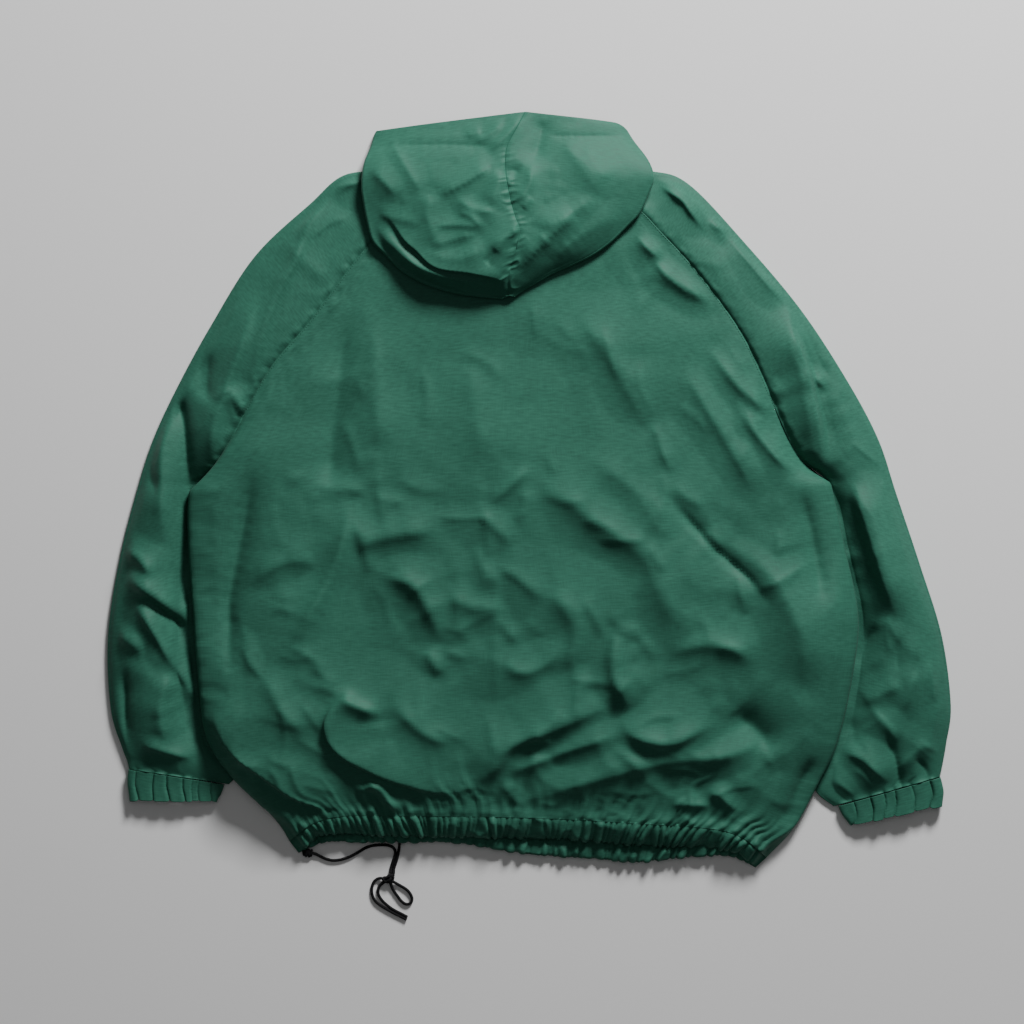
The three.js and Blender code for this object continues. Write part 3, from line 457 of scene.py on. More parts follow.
backPiece = {
    "columns": 216,
    "rows": 222,
    "loft": [(-400, 17), (-360, 19), (-320, 24), (-260, 28), (-200, 30), (0, 28), (150, 23), (250, 18),
             (340, 16)],
    "edgeReach": 16,        # how soon the cloth rises from its edge
    "sideFade": 22,         # how far from the side seams the folds begin
    "hemFade": 16,
    "bulge": {"left": 12, "right": 8},   # how far the sides stand out over the sleeves
    "ledges": [
        ([(-340, -215), (-334, -250), (-320, -280), (-282, -310), (-240, -337), (-180, -354)], 9, 55, 9, 8),
        ([(-190, -218), (-206, -234), (-216, -254), (-213, -272), (-198, -288), (-172, -302), (-138, -316),
          (-98, -328), (-56, -330)], 12, 32, 8, 6),
        ([(-340, -276), (-322, -306), (-296, -334), (-268, -358), (-246, -378)], 11, 13, 9, 0),
    ],
    "folds": [
        ([(-160, -246), (-190, -234), (-204, -226)], 5, 14, 8, 2),
        ([(-192, -330), (-166, -326), (-150, -346), (-132, -358)], 5, 10, 7, 2),
        ([(-60, -326), (-36, -306), (-18, -282), (30, -262), (98, -231)], 5, 30, 7, 3),
        ([(-22, -312), (30, -290), (104, -266)], 3, 16, 8, 2),
        ([(-2, -342), (60, -322), (140, -300), (220, -290), (276, -268)], 4, 24, 12, 2),
        ([(6, 14), (40, -10), (80, -42), (125, -72), (150, -128), (190, -166)], 4, 44, 18, 2),
        ([(222, -46), (262, -96), (291, -145), (300, -182), (302, -218)], 5, 30, 30, 0),
        ([(142, 4), (174, -32), (198, -59), (212, -72), (244, -100), (268, -134)], -3.5, 5, 7, 0),
        ([(96, -142), (90, -190), (96, -216), (112, -244)], 5, 26, 6, 3),
        ([(100, -250), (112, -267), (130, -276), (156, -278), (180, -268), (208, -252)], 5, 26, 7, 4),
        ([(226, -240), (270, -286)], -5, 22, 22, 0),
        ([(312, -292), (296, -332), (276, -376)], -4, 8, 7, 0),
        ([(298, 0), (312, -60), (322, -130)], -4, 14, 12, 0),
        ([(-300, 26), (-314, -50), (-328, -130), (-326, -212)], -5, 14, 16, 0),
        ([(-198, 206), (-206, 120), (-216, 40), (-216, -6)], -3, 18, 18, 0),
        ([(-304, -106), (-280, -86), (-252, -78), (-226, -84)], 2.2, 20, 9, 1),
        ([(-196, -14), (-204, -60), (-226, -112), (-270, -192)], 4, 16, 11, 1),
        ([(-192, -64), (-150, -52), (-96, -44)], 3.5, 28, 11, 1),
        ([(-160, -94), (-130, -104), (-112, -128), (-92, -172)], 4, 20, 9, 2),
        ([(-112, -176), (-96, -202)], 3, 10, 7, 1),
        ([(2, 24), (-18, 6), (-42, -16)], 2.2, 5, 5, 0),
        ([(-35, -76), (-36, -160), (-34, -244)], 1.1, 3.5, 3.5, 0),
        ([(-104, -29), (-70, -31), (-36, -29)], 1.1, 3, 3, 0),
        ([(118, 277), (132, 262), (146, 254)], 3, 10, 7, 1),
        ([(138, 252), (150, 234), (178, 215), (204, 207)], 3.5, 14, 7, 2),
        ([(196, 156), (224, 118), (250, 95), (274, 84)], 3, 12, 7, 2),
        ([(232, 88), (250, 60), (268, 38), (290, 18)], 3, 10, 7, 1),
        ([(60, 40), (120, -6), (150, -60)], 2, 22, 15, 0),
        ([(22, -110), (50, -150), (40, -200)], 3, 22, 11, 1),
        ([(-30, -180), (-10, -200), (20, -190), (40, -160)], 2.5, 14, 9, 1),
        ([(-150, -230), (-120, -262), (-84, -280)], 3, 20, 11, 1),
        ([(-90, -110), (-60, -130), (-30, -128)], 2, 14, 9, 1),
        ([(150, -180), (200, -170), (250, -190)], 3, 22, 12, 1),
        ([(-290, -200), (-270, -240), (-240, -270)], 3, 22, 12, 0),
        ([(58, 190), (96, 130), (132, 66)], 2.5, 30, 12, 0),
        ([(168, 132), (212, 59), (249, -7)], 2.5, 22, 9, 0),
        ([(-65, 140), (-51, 30)], 1.5, 24, 18, 0),
        ([(-171, 180), (-164, 100), (-166, 45)], 2, 12, 18, 0),
        ([(196, -328), (214, -340), (230, -354)], 3, 10, 6, 2),
        ([(156, -344), (200, -346)], 2.5, 9, 6, 1),
    ],
}
loftCurve = curveThrough(backPiece["loft"], 200)
hemGathers = gatherSet(hemLength, 7.5, 4.4, 26, 3)
lowerFolds = smallFolds(100, (-320, -345), (300, 110), 1.6, -0.6, 8)
upperFolds = smallFolds(26, (-260, 90), (240, 300), 1.1, -1.2, 12)
backCreases = creaseField((-420, -450), (400, 380), 2.0, backPiece["folds"] + lowerFolds + upperFolds, 1.15,
                          lambda x, y: 2.0 + 1.2 * smoothStep(170, -100, y), 4, -0.7, crisp=1.25)
print("back creased")


def backRise(y, toLeft, toRight, lift):  # the back's height before its folds
    loft = np.interp(y, *loftCurve.T)
    reach = backPiece["edgeReach"] - 6 * smoothStep(14, 5, lift)
    rise = (1 - np.exp(-np.maximum(toLeft, 0) / reach)) * (1 - np.exp(-np.maximum(toRight, 0) / reach))
    return lift + (loft - lift) * rise


def hemCrinkle(x, y):  # fine puckers shared by the back's hem and the casings
    return 1.5 * wrinkles(x, y, 9, 2.2, 1.2, 93)


def backPlace(u, v):
    u = u - 0.25 / math.tau * np.sin(math.tau * u)      # sets the columns closer near the sides
    flat, width = bodyFlat(u, v, hemCurve)
    x, y = flat[:, 0], flat[:, 1]
    toLeft, toRight = u * width, (1 - u) * width
    z = backRise(y, toLeft, toRight, edgeLift(v))
    fromHem = (y - np.interp(x, hemCurve[:, 0], hemCurve[:, 1])).clip(0)
    inside = smoothStep(0, backPiece["sideFade"], toLeft) * smoothStep(0, backPiece["sideFade"], toRight)
    inside = inside * smoothStep(0, backPiece["hemFade"], fromHem)
    dx, dy, dz = foldField(backPiece["ledges"], x, y)
    dz = dz + sampleField(backCreases, x, y)
    gathered = gatherField(hemGathers, u * hemLength, fromHem) * (1 - 0.4 * np.exp(-((fromHem / 3.5) ** 2)))
    gathered = gathered + hemCrinkle(x, y) * np.exp(-fromHem / 16)
    z = z + inside * dz + gathered * smoothStep(0, 10, toLeft) * smoothStep(0, 10, toRight)
    nearSides = np.exp(-toLeft / 24) + 0.35 * np.exp(-toRight / 22)
    z = z + 1.2 * wrinkles(x, y, 9, 1.8, 1.2, 91) * nearSides * smoothStep(0, 8, np.minimum(toLeft, toRight))
    low, bulge = smoothStep(0.02, 0.1, v), backPiece["bulge"]
    leftSide = bulge["left"] * low * smoothStep(1 - raglanShare + 0.16, 1 - raglanShare - 0.05, v)
    rightSide = bulge["right"] * low * smoothStep(1 - raglanShare + 0.02, 1 - raglanShare - 0.005, v)
    x = x + inside * dx - leftSide * np.exp(-(((toLeft - 9) / 8) ** 2))
    x = x + rightSide * np.exp(-(((toRight - 7) / 6) ** 2))
    return x, y + inside * dy, z + seamEdge["cloth"]


back = clothSheet("back", backPiece["columns"], backPiece["rows"], backPlace, (0.72, 0.72))
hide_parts("back_panel")


# front, flat under the back

frontPiece = {"columns": 90, "rows": 90, "neckY": 349.5, "neckSpread": 18, "height": 1.3}
frontHemCurve = evenCurve(outline["frontHem"], 200)


def frontPlace(u, v):
    flat = bodyFlat(u, v, frontHemCurve)[0]
    neck = smoothStep(0.96, 1, v)
    y = flat[:, 1] * (1 - neck) + frontPiece["neckY"] * neck
    x = flat[:, 0] + neck * (u - 0.5) * frontPiece["neckSpread"]
    return x, y, frontPiece["height"] + 0.12 * softNoise(x, y, 60, 1, 0, 21)


front = clothSheet("front", frontPiece["columns"], frontPiece["rows"], frontPlace, (0.72, 0.74))
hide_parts("front_panel")


# folded sheets: the sleeves and the hood's halves each have an upper layer, a fold and a lower one

foldTurn = 0.08   # share of the columns that go round the fold


def foldShares(u, topShare):  # 1 to 0 from the seam to the fold, 0 to 1 round it, 0 to 1 back below
    s = np.clip(1 - u / topShare, 0, 1)
    turn = np.clip((u - topShare) / foldTurn, 0, 1)
    below = np.clip((u - topShare - foldTurn) / (1 - foldTurn - topShare), 0, 1)
    return s, turn, below, u <= topShare, (u > topShare) & (u < topShare + foldTurn)


def fromFold(shares, length, r):  # distance inwards from the fold's outside
    s, turn, below, onTop, onFold = shares
    across = length - r
    bend = r - r * np.sin(math.pi * turn)
    return np.where(onTop, r + across * s, np.where(onFold, bend, r + across * below))


# sleeves, folded along the top of the arm, the underarm seam beside the body

sleevePiece = {
    "columns": 120,
    "rows": 250,
    "foldRadius": 3,
    "topShare": 0.76,
    "length": 700,
    "seamLength": 760,
    "spanX": (60, 490),                       # where the creases' grid lies, outwards from the middle
    "ladder": {"left": 1.5, "right": 1.1},    # height of the puckers along the raglan seam
    # outer x, outer y, seam x, seam y, and how far the cloth stands up between them
    "left": [
        (-128, 346, -108, 326, 1), (-197, 347, -150, 296, 2), (-240, 313, -190, 250, 5),
        (-300, 256, -239, 185, 9), (-348, 180, -280, 137, 10), (-384, 114, -310, 86, 11),
        (-411, 56, -341, 30, 13), (-429, 0, -369, -2, 14), (-448, -75, -368, -60, 17),
        (-461, -160, -363, -132, 18), (-458, -240, -357, -210, 17), (-445, -284, -348, -272, 12),
        (-440, -297, -327, -308, 8), (-438, -306.5, -334, -322.5, 5)],
    "right": [
        (92, 346, 74, 326, 1), (140, 349, 118, 309, 2), (178, 334, 146, 282, 5), (236, 273, 190, 233, 9),
        (299, 198, 236, 168, 10), (350, 120, 268, 100, 10), (384, 56, 298, 38, 11), (404, -4, 330, 8, 12),
        (430, -82, 345, -62, 17), (454, -160, 360, -140, 18), (464, -236, 352, -212, 17),
        (459, -278, 339, -268, 13), (455, -301, 319, -322, 9), (452, -315, 341, -346, 5)],
    "underarmRow": 7,
    "leftFolds": [
        ([(-216, 322), (-236, 298), (-252, 258), (-282, 196), (-298, 140), (-306, 92)], 5, 10, 16, 0),
        ([(-296, 222), (-312, 164), (-332, 108), (-344, 56), (-346, 20)], 6, 10, 20, 0),
        ([(-328, 112), (-316, 92), (-306, 80)], 5, 10, 6, 0),
        ([(-348, 150), (-352, 120), (-350, 96)], -4, 8, 12, 0),
        ([(-392, 104), (-379, 84), (-374, 42), (-371, -20)], -7, 8, 12, 0),
        ([(-398, 90), (-402, 30), (-400, -60)], 5, 12, 18, 0),
        ([(-424, 44), (-414, 18), (-406, -8)], -3, 8, 8, 0),
        ([(-448, -66), (-426, -75), (-408, -96)], 5, 10, 7, 1),
        ([(-440, -92), (-425, -104), (-405, -119), (-383, -134), (-364, -154)], 8, 16, 9, 2),
        ([(-434, -116), (-410, -150), (-386, -190), (-360, -238)], 6, 12, 9, 2),
        ([(-448, -158), (-422, -176)], 4, 10, 7, 1),
        ([(-440, -196), (-443, -240), (-441, -300)], -5, 7, 8, 0),
        ([(-424, -278), (-398, -286), (-366, -294)], 4, 10, 7, 1),
        ([(-214, 332), (-198, 335), (-178, 337)], 4, 8, 7, 0),
        ([(-390, -200), (-402, -240), (-398, -280)], 4, 10, 12, 0),
        ([(-372, -30), (-380, -90), (-384, -160), (-380, -230), (-368, -290)], -5, 16, 10, 0),
        ([(-424, -110), (-404, -128), (-384, -146), (-366, -166)], -5, 6, 7, 0),
    ],
    "rightFolds": [
        ([(144, 334), (158, 326), (172, 315), (180, 303), (194, 282)], 6, 14, 6, 2),
        ([(199, 288), (210, 289), (224, 288)], 3.5, 8, 6, 1),
        ([(220, 289), (245, 254), (264, 230), (284, 212)], 6, 16, 12, 1),
        ([(324, 8), (318, 52), (311, 92), (304, 124), (296, 150), (289, 174), (285, 214)], 8, 22, 8, 2),
        ([(330, 30), (327, 68), (318, 103), (311, 136), (298, 174)], -5, 8, 8, 0),
        ([(301, 127), (312, 123), (326, 113)], 4, 5, 4, 0),
        ([(358, 10), (362, -11), (373, -46), (382, -76), (393, -112), (403, -141)], 8, 22, 9, 2),
        ([(352, -6), (362, -46), (372, -84), (386, -124)], -5, 9, 8, 0),
        ([(384, -148), (372, -166), (358, -190)], -5, 6, 6, 0),
        ([(366, -235), (389, -220), (409, -214)], 3, 12, 12, 1),
        ([(412, -243), (419, -217), (425, -198)], 2.4, 10, 10, 0),
        ([(390, -262), (401, -290), (409, -322), (412, -336)], -4.8, 7, 7, 0),
        ([(345, -288), (361, -291), (378, -304), (397, -323)], 4.8, 12, 7, 2),
        ([(352, -250), (358, -268), (356, -284)], -2.4, 10, 12, 0),
        ([(403, -277), (393, -258), (372, -238)], 3, 9, 6, 0),
        ([(426, -276), (440, -283), (452, -288)], 1.8, 7, 5, 0),
        ([(424, -294), (436, -306), (442, -322)], -3.6, 5, 5, 0),
        ([(333, -318), (346, -326), (358, -336)], 1.5, 5, 4, 0),
        ([(356, -305), (368, -314), (378, -327)], 1.5, 5, 4, 0),
        ([(352, -80), (354, -96), (358, -116)], -3, 4, 4, 0),
        ([(408, -160), (404, -180), (406, -200)], -1.5, 5, 5, 0),
        ([(436, -186), (442, -210), (444, -232)], 1.8, 8, 8, 0),
    ],
    # where the cuffs' pleats meet, from the outer fold inwards
    "leftPleats": [0, 8, 28, 42, 60, 70, 78, 92, 108, 124],
    "rightPleats": [0, 12, 33, 52, 64, 80, 99, 116, 128],
}


# shared by each cuff and the end of its sleeve
cuffGathers = {side: pleatSet(sleevePiece[side + "Pleats"], 5.2, 14, 31) for side in sides}


def sleevePlace(side):
    table = curveThrough(sleevePiece[side], 400)
    folds = sleevePiece[side + "Folds"]
    leaning = [fold for fold in folds if fold[4]]
    outward = -1 if side == "left" else 1
    underarm = sleevePiece["underarmRow"] / (len(sleevePiece[side]) - 1)
    xs = sorted(outward * x for x in sleevePiece["spanX"])
    creased = folds + smallFolds(60, (xs[0], -300), (xs[1], 330), 1.5, -1.15 * outward, 21)
    creases = creaseField((xs[0], -400), (xs[1], 390), 2.0, creased, 0.8, lambda x, y: 1.4,
                          15, -1.15 * outward, crisp=0.9)
    r, topShare = sleevePiece["foldRadius"], sleevePiece["topShare"]

    def place(u, v):
        row = pick(table, v)
        outer, inner, loft = row[:, :2], row[:, 2:4].copy(), row[:, 4]
        below = smoothStep(underarm, underarm + 0.03, v)
        length = np.linalg.norm(inner - outer, axis=1)
        ahead = (inner - outer) / length[:, None]
        tuck = np.where(u <= topShare, 2.4 + 3 * below, -0.7)    # the seam's edge lies under the body's
        length = length + tuck
        shares = foldShares(u, topShare)
        s, turn, _, onTop, onFold = shares
        seamLow = seamEdge["low"] + seamEdge["cloth"]
        seamHeight = seamLow + seamEdge["rise"] * smoothStep(underarm, underarm * 0.74, v)
        arch = np.sin(math.pi * np.minimum(s * (1.04 + 0.13 * below), 1)) ** 0.75
        top = 2 * r + (seamHeight - 2 * r) * s**2 + loft * arch
        top = top - 1.9 * np.exp(-(((1 - s) * length / 4) ** 2))
        away = fromFold(shares, length, r)
        z = np.where(onTop, top, np.where(onFold, r + r * np.cos(math.pi * turn), 0.0))
        flat = outer + ahead * away[:, None]
        x, y = flat[:, 0], flat[:, 1]
        inside = smoothStep(0, 0.16, s) * smoothStep(1, 0.91, s) * onTop
        dx, dy = foldField(leaning, x, y)[:2]
        dz = sampleField(creases, x, y)
        toCuff = (1 - v) * sleevePiece["length"]
        gathered = gatherField(cuffGathers[side], away, toCuff) * smoothStep(0, 0.1, s)
        gathered = gathered * smoothStep(1, 0.9, s) * onTop
        pucker = np.exp(-(((length - away) - 6) / 5) ** 2) * (1 - below) * onTop
        ladder = softNoise(v * sleevePiece["seamLength"], away - length, 3.6, 3, 1.57, 17)
        pucker = pucker * (sleevePiece["ladder"][side] * ladder) * smoothStep(0.05, 0.12, v)
        z = z + inside * dz + gathered + pucker
        clear = 0.5 * (z + 2 + np.sqrt((z - 2) ** 2 + 6))     # the upper layer stays clear of the lower one
        z = np.where(onTop, clear, np.maximum(z, 0.1))
        return x + inside * dx, y + inside * dy, z

    return place


sleevePlaces = {side: sleevePlace(side) for side in sides}
sleeves = {}
for side in sides:
    sleeve = clothSheet("sleeve." + side, sleevePiece["columns"], sleevePiece["rows"], sleevePlaces[side],
                        (0.22, 0.78), flip=side == "left")
    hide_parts("sleeve_" + side)
    sleeves[side] = sleeve


# cuffs, gathered on elastic

cuffPiece = {
    "columns": 260,
    "rows": 26,
    "height": 12.5,
    "valleys": 3.4,       # how much lower the cloth lies between its gathers
    "squeeze": 0.10,      # how much the elastic draws in the middle of the cuff
    "ripple": 0.3,
    # outer x, outer y, inner x, inner y, from the sleeve to the wrist
    "left": [(-438, -307, -334.5, -323.2), (-438.5, -322, -338, -333), (-436, -338.5, -343, -340.5)],
    "right": [(452.3, -315.5, 341.5, -346.9), (455, -331, 347, -358), (453, -344, 355, -367)],
}


def cuffPlace(side):
    table = curveThrough(cuffPiece[side], 60)

    def place(u, v):
        row = pick(table, v)
        outer, inner = row[:, :2], row[:, 2:4]
        length = np.linalg.norm(inner - outer, axis=1)
        ahead = (inner - outer) / length[:, None]
        angle = math.tau * u
        across = 0.5 * np.cos(angle) + 0.5 * np.where(u < 0.5, 1 - 4 * u, 4 * u - 3)
        up = np.sign(np.sin(angle)) * np.maximum(1 - np.abs(across) ** 3.3, 0) ** 0.35
        slant = 5 * softNoise(length * across, 0 * u, 30, seed=33) * v
        wave = gatherField(cuffGathers[side], length * (0.5 + 0.5 * across) + slant, np.zeros(len(u)), 7)
        half = cuffPiece["height"] / 2
        drawn = half * (1 - cuffPiece["squeeze"] * np.sin(math.pi * v))
        z = half + up * (drawn - cuffPiece["valleys"] + 0.95 * wave)
        away = length / 2 + across * (length / 2 - 0.5 + 0.3 * wave)
        ripple = cuffPiece["ripple"] * np.sin(u * 220 / 3.1) * np.sin(math.pi * v)
        flat = outer + ahead * away[:, None]
        y = flat[:, 1] - 0.8 * wave * smoothStep(0.7, 1, v)
        return flat[:, 0], y, np.maximum(z + up * ripple, 0.1)

    return place


cuffs = {}
for side in sides:
    cuff = clothSheet("cuff." + side, cuffPiece["columns"], cuffPiece["rows"], cuffPlace(side), (0.3, 0.03),
                      flip=side == "left", ring=True, thickness=0.9)
    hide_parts("cuff_" + side)
    cuffs[side] = cuff


# drawcord casings at the hem: doubled cloth, gathered, with a rounded lower edge

casingPiece = {
    "columns": 420,
    "rows": 26,
    "wall": 2.6,          # from its outer to its inner layer
    "slant": 9,           # how far the gathers wander on their way down
    "scallop": 0.45,      # how far each gather pushes the lower edge out, for its height
    "underBody": 0.07,    # share of its depth that lies under the body's hem
}


def casingPlace(topLine, edgeLine, base, gathers, lowest):
    topCurve, edgeCurve = evenCurve(topLine, 300), evenCurve(edgeLine, 300)

    def place(u, v):
        start, edge = pick(topCurve, u), pick(edgeCurve, u)
        atEnds = smoothStep(0, 0.03, u) * smoothStep(1, 0.97, u)
        along = u * hemLength
        around = np.clip(v, 0, 1) * 2           # 0 to 1 down the outside, 1 to 2 back up the inside
        down = np.where(around <= 1, around, 2 - around)
        outside = np.cos(np.clip((around - 0.86) / 0.28, 0, 1) * math.pi)
        depth = np.minimum(down, 1)
        slant = casingPiece["slant"] * depth * softNoise(along, 0 * along, 22, 1, 0, gathers[3])
        wave = gatherField(gathers, along + slant, np.zeros(len(u)))
        under = casingPiece["underBody"]
        flat = start + (edge - start) * (depth * (1 + under) - under)[:, None]
        fine = hemCrinkle(flat[:, 0], flat[:, 1])
        scallop = atEnds * (wave - 1.5) * casingPiece["scallop"] * depth
        toEnd = np.minimum(u, 1 - u) * hemLength
        z = base(flat[:, 0], toEnd, depth) + (outside - 1) * casingPiece["wall"] / 2
        z = z + atEnds * (wave * (1 - 0.4 * np.exp(-((depth / 0.16) ** 2))) + fine)
        z = z + 0.8 * np.sin(math.pi * depth)
        return flat[:, 0], flat[:, 1] - scallop - 0.3 * atEnds * fine, np.maximum(z, lowest)

    return place


def backHemBase(x, toEnd, depth):  # falls from the back's hem to its own lower edge
    rise = backRise(np.interp(x, hemCurve[:, 0], hemCurve[:, 1]), toEnd, toEnd, seamEdge["low"])
    return rise + 0.9 - 10 * depth**1.5 * smoothStep(0, 30, toEnd)


def frontHemBase(x, toEnd, depth):  # low under the back's casing, rising towards its own edge
    return 2.8 + 3.6 * smoothStep(0.3, 0.75, depth) * smoothStep(0, 60, toEnd)


frontGathers = gatherSet(hemLength, 9, 3.4, 26, 5)
casings = {}
for layer, base, gathers, lowest in (
        ("back", backHemBase, hemGathers, 2.0),
        ("front", frontHemBase, frontGathers, 0.1)):
    place = casingPlace(outline[layer + "Hem"], outline[layer + "Edge"], base, gathers, lowest)
    casing = clothSheet("casing." + layer, casingPiece["columns"], casingPiece["rows"], place, (0.9, 0.05),
                        flip=True, thickness=0.6)
    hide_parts("hem_casing_" + layer)
    casings[layer] = casing


# hood, two halves joined down the middle, turned back over the shoulders

hoodPiece = {
    "columns": 190,
    "rows": 200,
    "foldRadius": 3,
    "topShare": 0.74,
    "neckY": (398, 338),   # the hood rises from the table onto the back between these
    "lift": 17,
    # seam x, seam y, crown height, left x, left y, right x, right y, end of the under layer y
    "sections": [
        (-3, 414, 18, -168, 394, 104, 403, 408), (-13, 395, 24, -172, 377, 115, 384, 380),
        (-23, 375, 30, -179, 358, 131, 361, 353), (-25, 355, 36, -182, 334, 137, 341, 338),
        (-23, 335, 40, -180, 315, 131, 323, 328), (-19, 315, 43, -176, 293, 121, 302, 316),
        (-14, 297, 45, -170, 272, 108, 288, 297), (-9, 282, 45, -157, 258, 92, 272, 282),
        (-12, 268, 45, -139, 240, 73, 258, 268), (-15, 255, 43, -117, 227, 51, 247, 255),
        (-19, 243, 41, -92, 218, 30, 238, 243), (-22, 231, 38, -68, 213, 12, 228, 231),
        (-22, 221, 34, -46, 210.5, -4, 219, 221), (-21, 212, 30, -28, 209, -15, 211, 212)],
    "neckX": {"left": -118, "right": 84},
    "corner": {"left": 2, "right": 8},        # how far the corner of the hem is rounded
    "flap": {"left": 1, "right": 0.35},       # how flat the lower end lies before it rises to the pouch
    "ledges": [
        ([(-164, 303), (-148, 294), (-132, 276), (-118, 264), (-105, 251), (-92, 245), (-64, 241),
          (-43, 236), (-28, 228), (-21, 214)], 9.5, 30, 5, 6),
        ([(-172, 300), (-161, 280), (-147, 262), (-127, 247), (-105, 236), (-80, 229), (-56, 226),
          (-34, 220)], 11, 11, 8, 0),
    ],
    "folds": [
        ([(-98, 319), (-64, 337), (-40, 353)], 3, 9, 3.5, 0),
        ([(-80, 317), (-64, 307), (-50, 303), (-32, 301)], 3, 5, 6, 0),
        ([(-76, 303), (-62, 296), (-50, 283)], 2.4, 5, 4, 0),
        ([(-104, 287), (-76, 288), (-52, 285)], 2.6, 7, 4, 0),
        ([(-104, 267), (-84, 272), (-54, 279)], 3.2, 9, 5, 0),
        ([(-113, 262), (-80, 255), (-40, 262)], 3, 8, 9, 0),
        ([(-40, 248), (-30, 268), (-17, 279), (-4, 285)], 4.5, 10, 5, 0),
        ([(-46, 249), (-34, 262)], -3, 5, 4, 0),
        ([(-13, 310), (-4, 322), (2, 334), (4, 358)], 3.6, 6, 5, 0),
        ([(-6, 306), (4, 318)], 2.5, 4, 4, 0),
        ([(-42, 306), (-34, 330), (-30, 348)], 3.4, 9, 8, 0),
        ([(-26, 347), (-16, 348), (-8, 345)], -2.4, 4, 5, 0),
        ([(-42, 370), (-24, 386), (-4, 408)], 2.6, 6, 3.5, 0),
        ([(-58, 381), (-44, 386), (-26, 404)], 2.2, 5, 3.5, 0),
        ([(-66, 386), (-52, 392)], 1.8, 4, 3, 0),
        ([(36, 384), (58, 352), (82, 318)], 2.6, 14, 9, 0),
        ([(16, 405), (14, 385), (4, 352)], -3, 8, 8, 0),
        ([(88, 336), (74, 352), (62, 378)], 2.4, 12, 9, 0),
        ([(-152, 384), (-134, 352), (-116, 322)], 1.6, 5, 5, 0),
        ([(-178, 352), (-160, 338), (-142, 318)], 3, 9, 5, 0),
        ([(-106, 322), (-110, 300), (-96, 262)], 3.2, 9, 9, 0),
        ([(-166, 302), (-140, 296), (-112, 290)], 2, 9, 4, 0),
        ([(-10, 238), (10, 262), (38, 288), (52, 298)], 4.5, 12, 6, 0),
        ([(10, 284), (40, 296), (76, 320)], 3, 8, 9, 0),
        ([(12, 278), (22, 264)], 1.5, 4, 4, 0),
        ([(24, 250), (66, 282), (102, 300)], 2.2, 12, 10, 0),
        ([(20, 388), (50, 386), (112, 388)], -1.2, 2.6, 2.6, 0),
        ([(-176, 375), (-120, 377), (-60, 376), (-36, 374)], -1.2, 2.6, 2.6, 0),
        ([(-150, 260), (-120, 238), (-80, 226)], 2, 10, 8, 0),
    ],
}
hoodTable = curveThrough(hoodPiece["sections"], 300)
hoodCreases = creaseField((-210, 190), (160, 440), 0.9, hoodPiece["folds"], 0.5, lambda x, y: 0.9, 61, 0.6,
                          bend=0.5, steps=30, crisp=0.85, rounding=0.8, narrow=1.05)


def underHood(y):  # the height of what the hood lies on: the table, then the back
    onBack = np.maximum(hoodPiece["lift"], np.interp(y, *loftCurve.T) + 3.4)
    return smoothStep(*hoodPiece["neckY"], y) * onBack


def hoodPlace(side):
    outward = -1 if side == "left" else 1
    foldColumns = [3, 4] if side == "left" else [5, 6]
    neckX, topShare = hoodPiece["neckX"][side], hoodPiece["topShare"]

    def place(u, v):
        row = pick(hoodTable, v)
        seam = row[:, [0, 1]] + np.array([outward * 0.06, 0])     # a hair apart from the other half
        fold = row[:, foldColumns]
        fold[:, 0] -= outward * hoodPiece["corner"][side] * (1 - np.clip(v / 0.045, 0, 1)) ** 2
        section = v * (len(hoodPiece["sections"]) - 1)
        r = hoodPiece["foldRadius"] * (1 - 0.45 * smoothStep(8, 13, section))
        atNeck = smoothStep(2.0, 3.0, section) * smoothStep(5.0, 4.0, section)
        low = np.stack([seam[:, 0] * (1 - atNeck) + neckX * atNeck, row[:, 7]], axis=1)
        shares = foldShares(u, topShare)
        s, turn, _, onTop, onFold = shares
        end = np.where((turn < 0.5)[:, None], seam, low)
        length = np.linalg.norm(end - fold, axis=1)
        away = fromFold(shares, length, r)
        flat = fold + (end - fold) / length[:, None] * away[:, None]
        x, y = flat[:, 0], flat[:, 1]
        floor = underHood(fold[:, 1])
        rounded = (1 - np.exp(-4 * s)) / (1 - math.exp(-4))
        flap = smoothStep(3, 6, section) * hoodPiece["flap"][side]
        rise = rounded * (1 - flap) + smoothStep(0.05, 0.9, s) * flap
        crown = floor + 2 * r + (row[:, 2] - floor - 2 * r) * rise
        bend = floor + r + r * np.cos(math.pi * turn)
        z = np.where(onTop, crown, np.where(onFold, bend, underHood(y)))
        inside = smoothStep(0, 0.12, s) * onTop * smoothStep(1, 0.97, v)
        dx, dy, dz = foldField(hoodPiece["ledges"], x, y)
        dz = dz + sampleField(hoodCreases, x, y)
        nearSeam = np.exp(-((away - length) / 9) ** 2) * onTop
        pucker = nearSeam * 1.3 * wrinkles(x, y, 7, 2.2, 0.3, 63) * smoothStep(0.1, 0.3, v)
        groove = -0.8 * np.exp(-(((away - length) / 2.5) ** 2)) * onTop
        still = 1 - np.exp(-(((away - length) / 6) ** 2))
        z = z + inside * (dz + pucker) + groove
        return x + inside * dx * still, y + inside * dy, np.maximum(z, 0.1)

    return place


hoodPlaces = {side: hoodPlace(side) for side in sides}
hoods = {}
for side in sides:
    hood = clothSheet("hood." + side, hoodPiece["columns"], hoodPiece["rows"], hoodPlaces[side], (0.26, 0.3),
                      flip=side == "left")
    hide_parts("hood_" + side)
    hoods[side] = hood


# sewing: every stitch is a short grain of thread lying along its seam

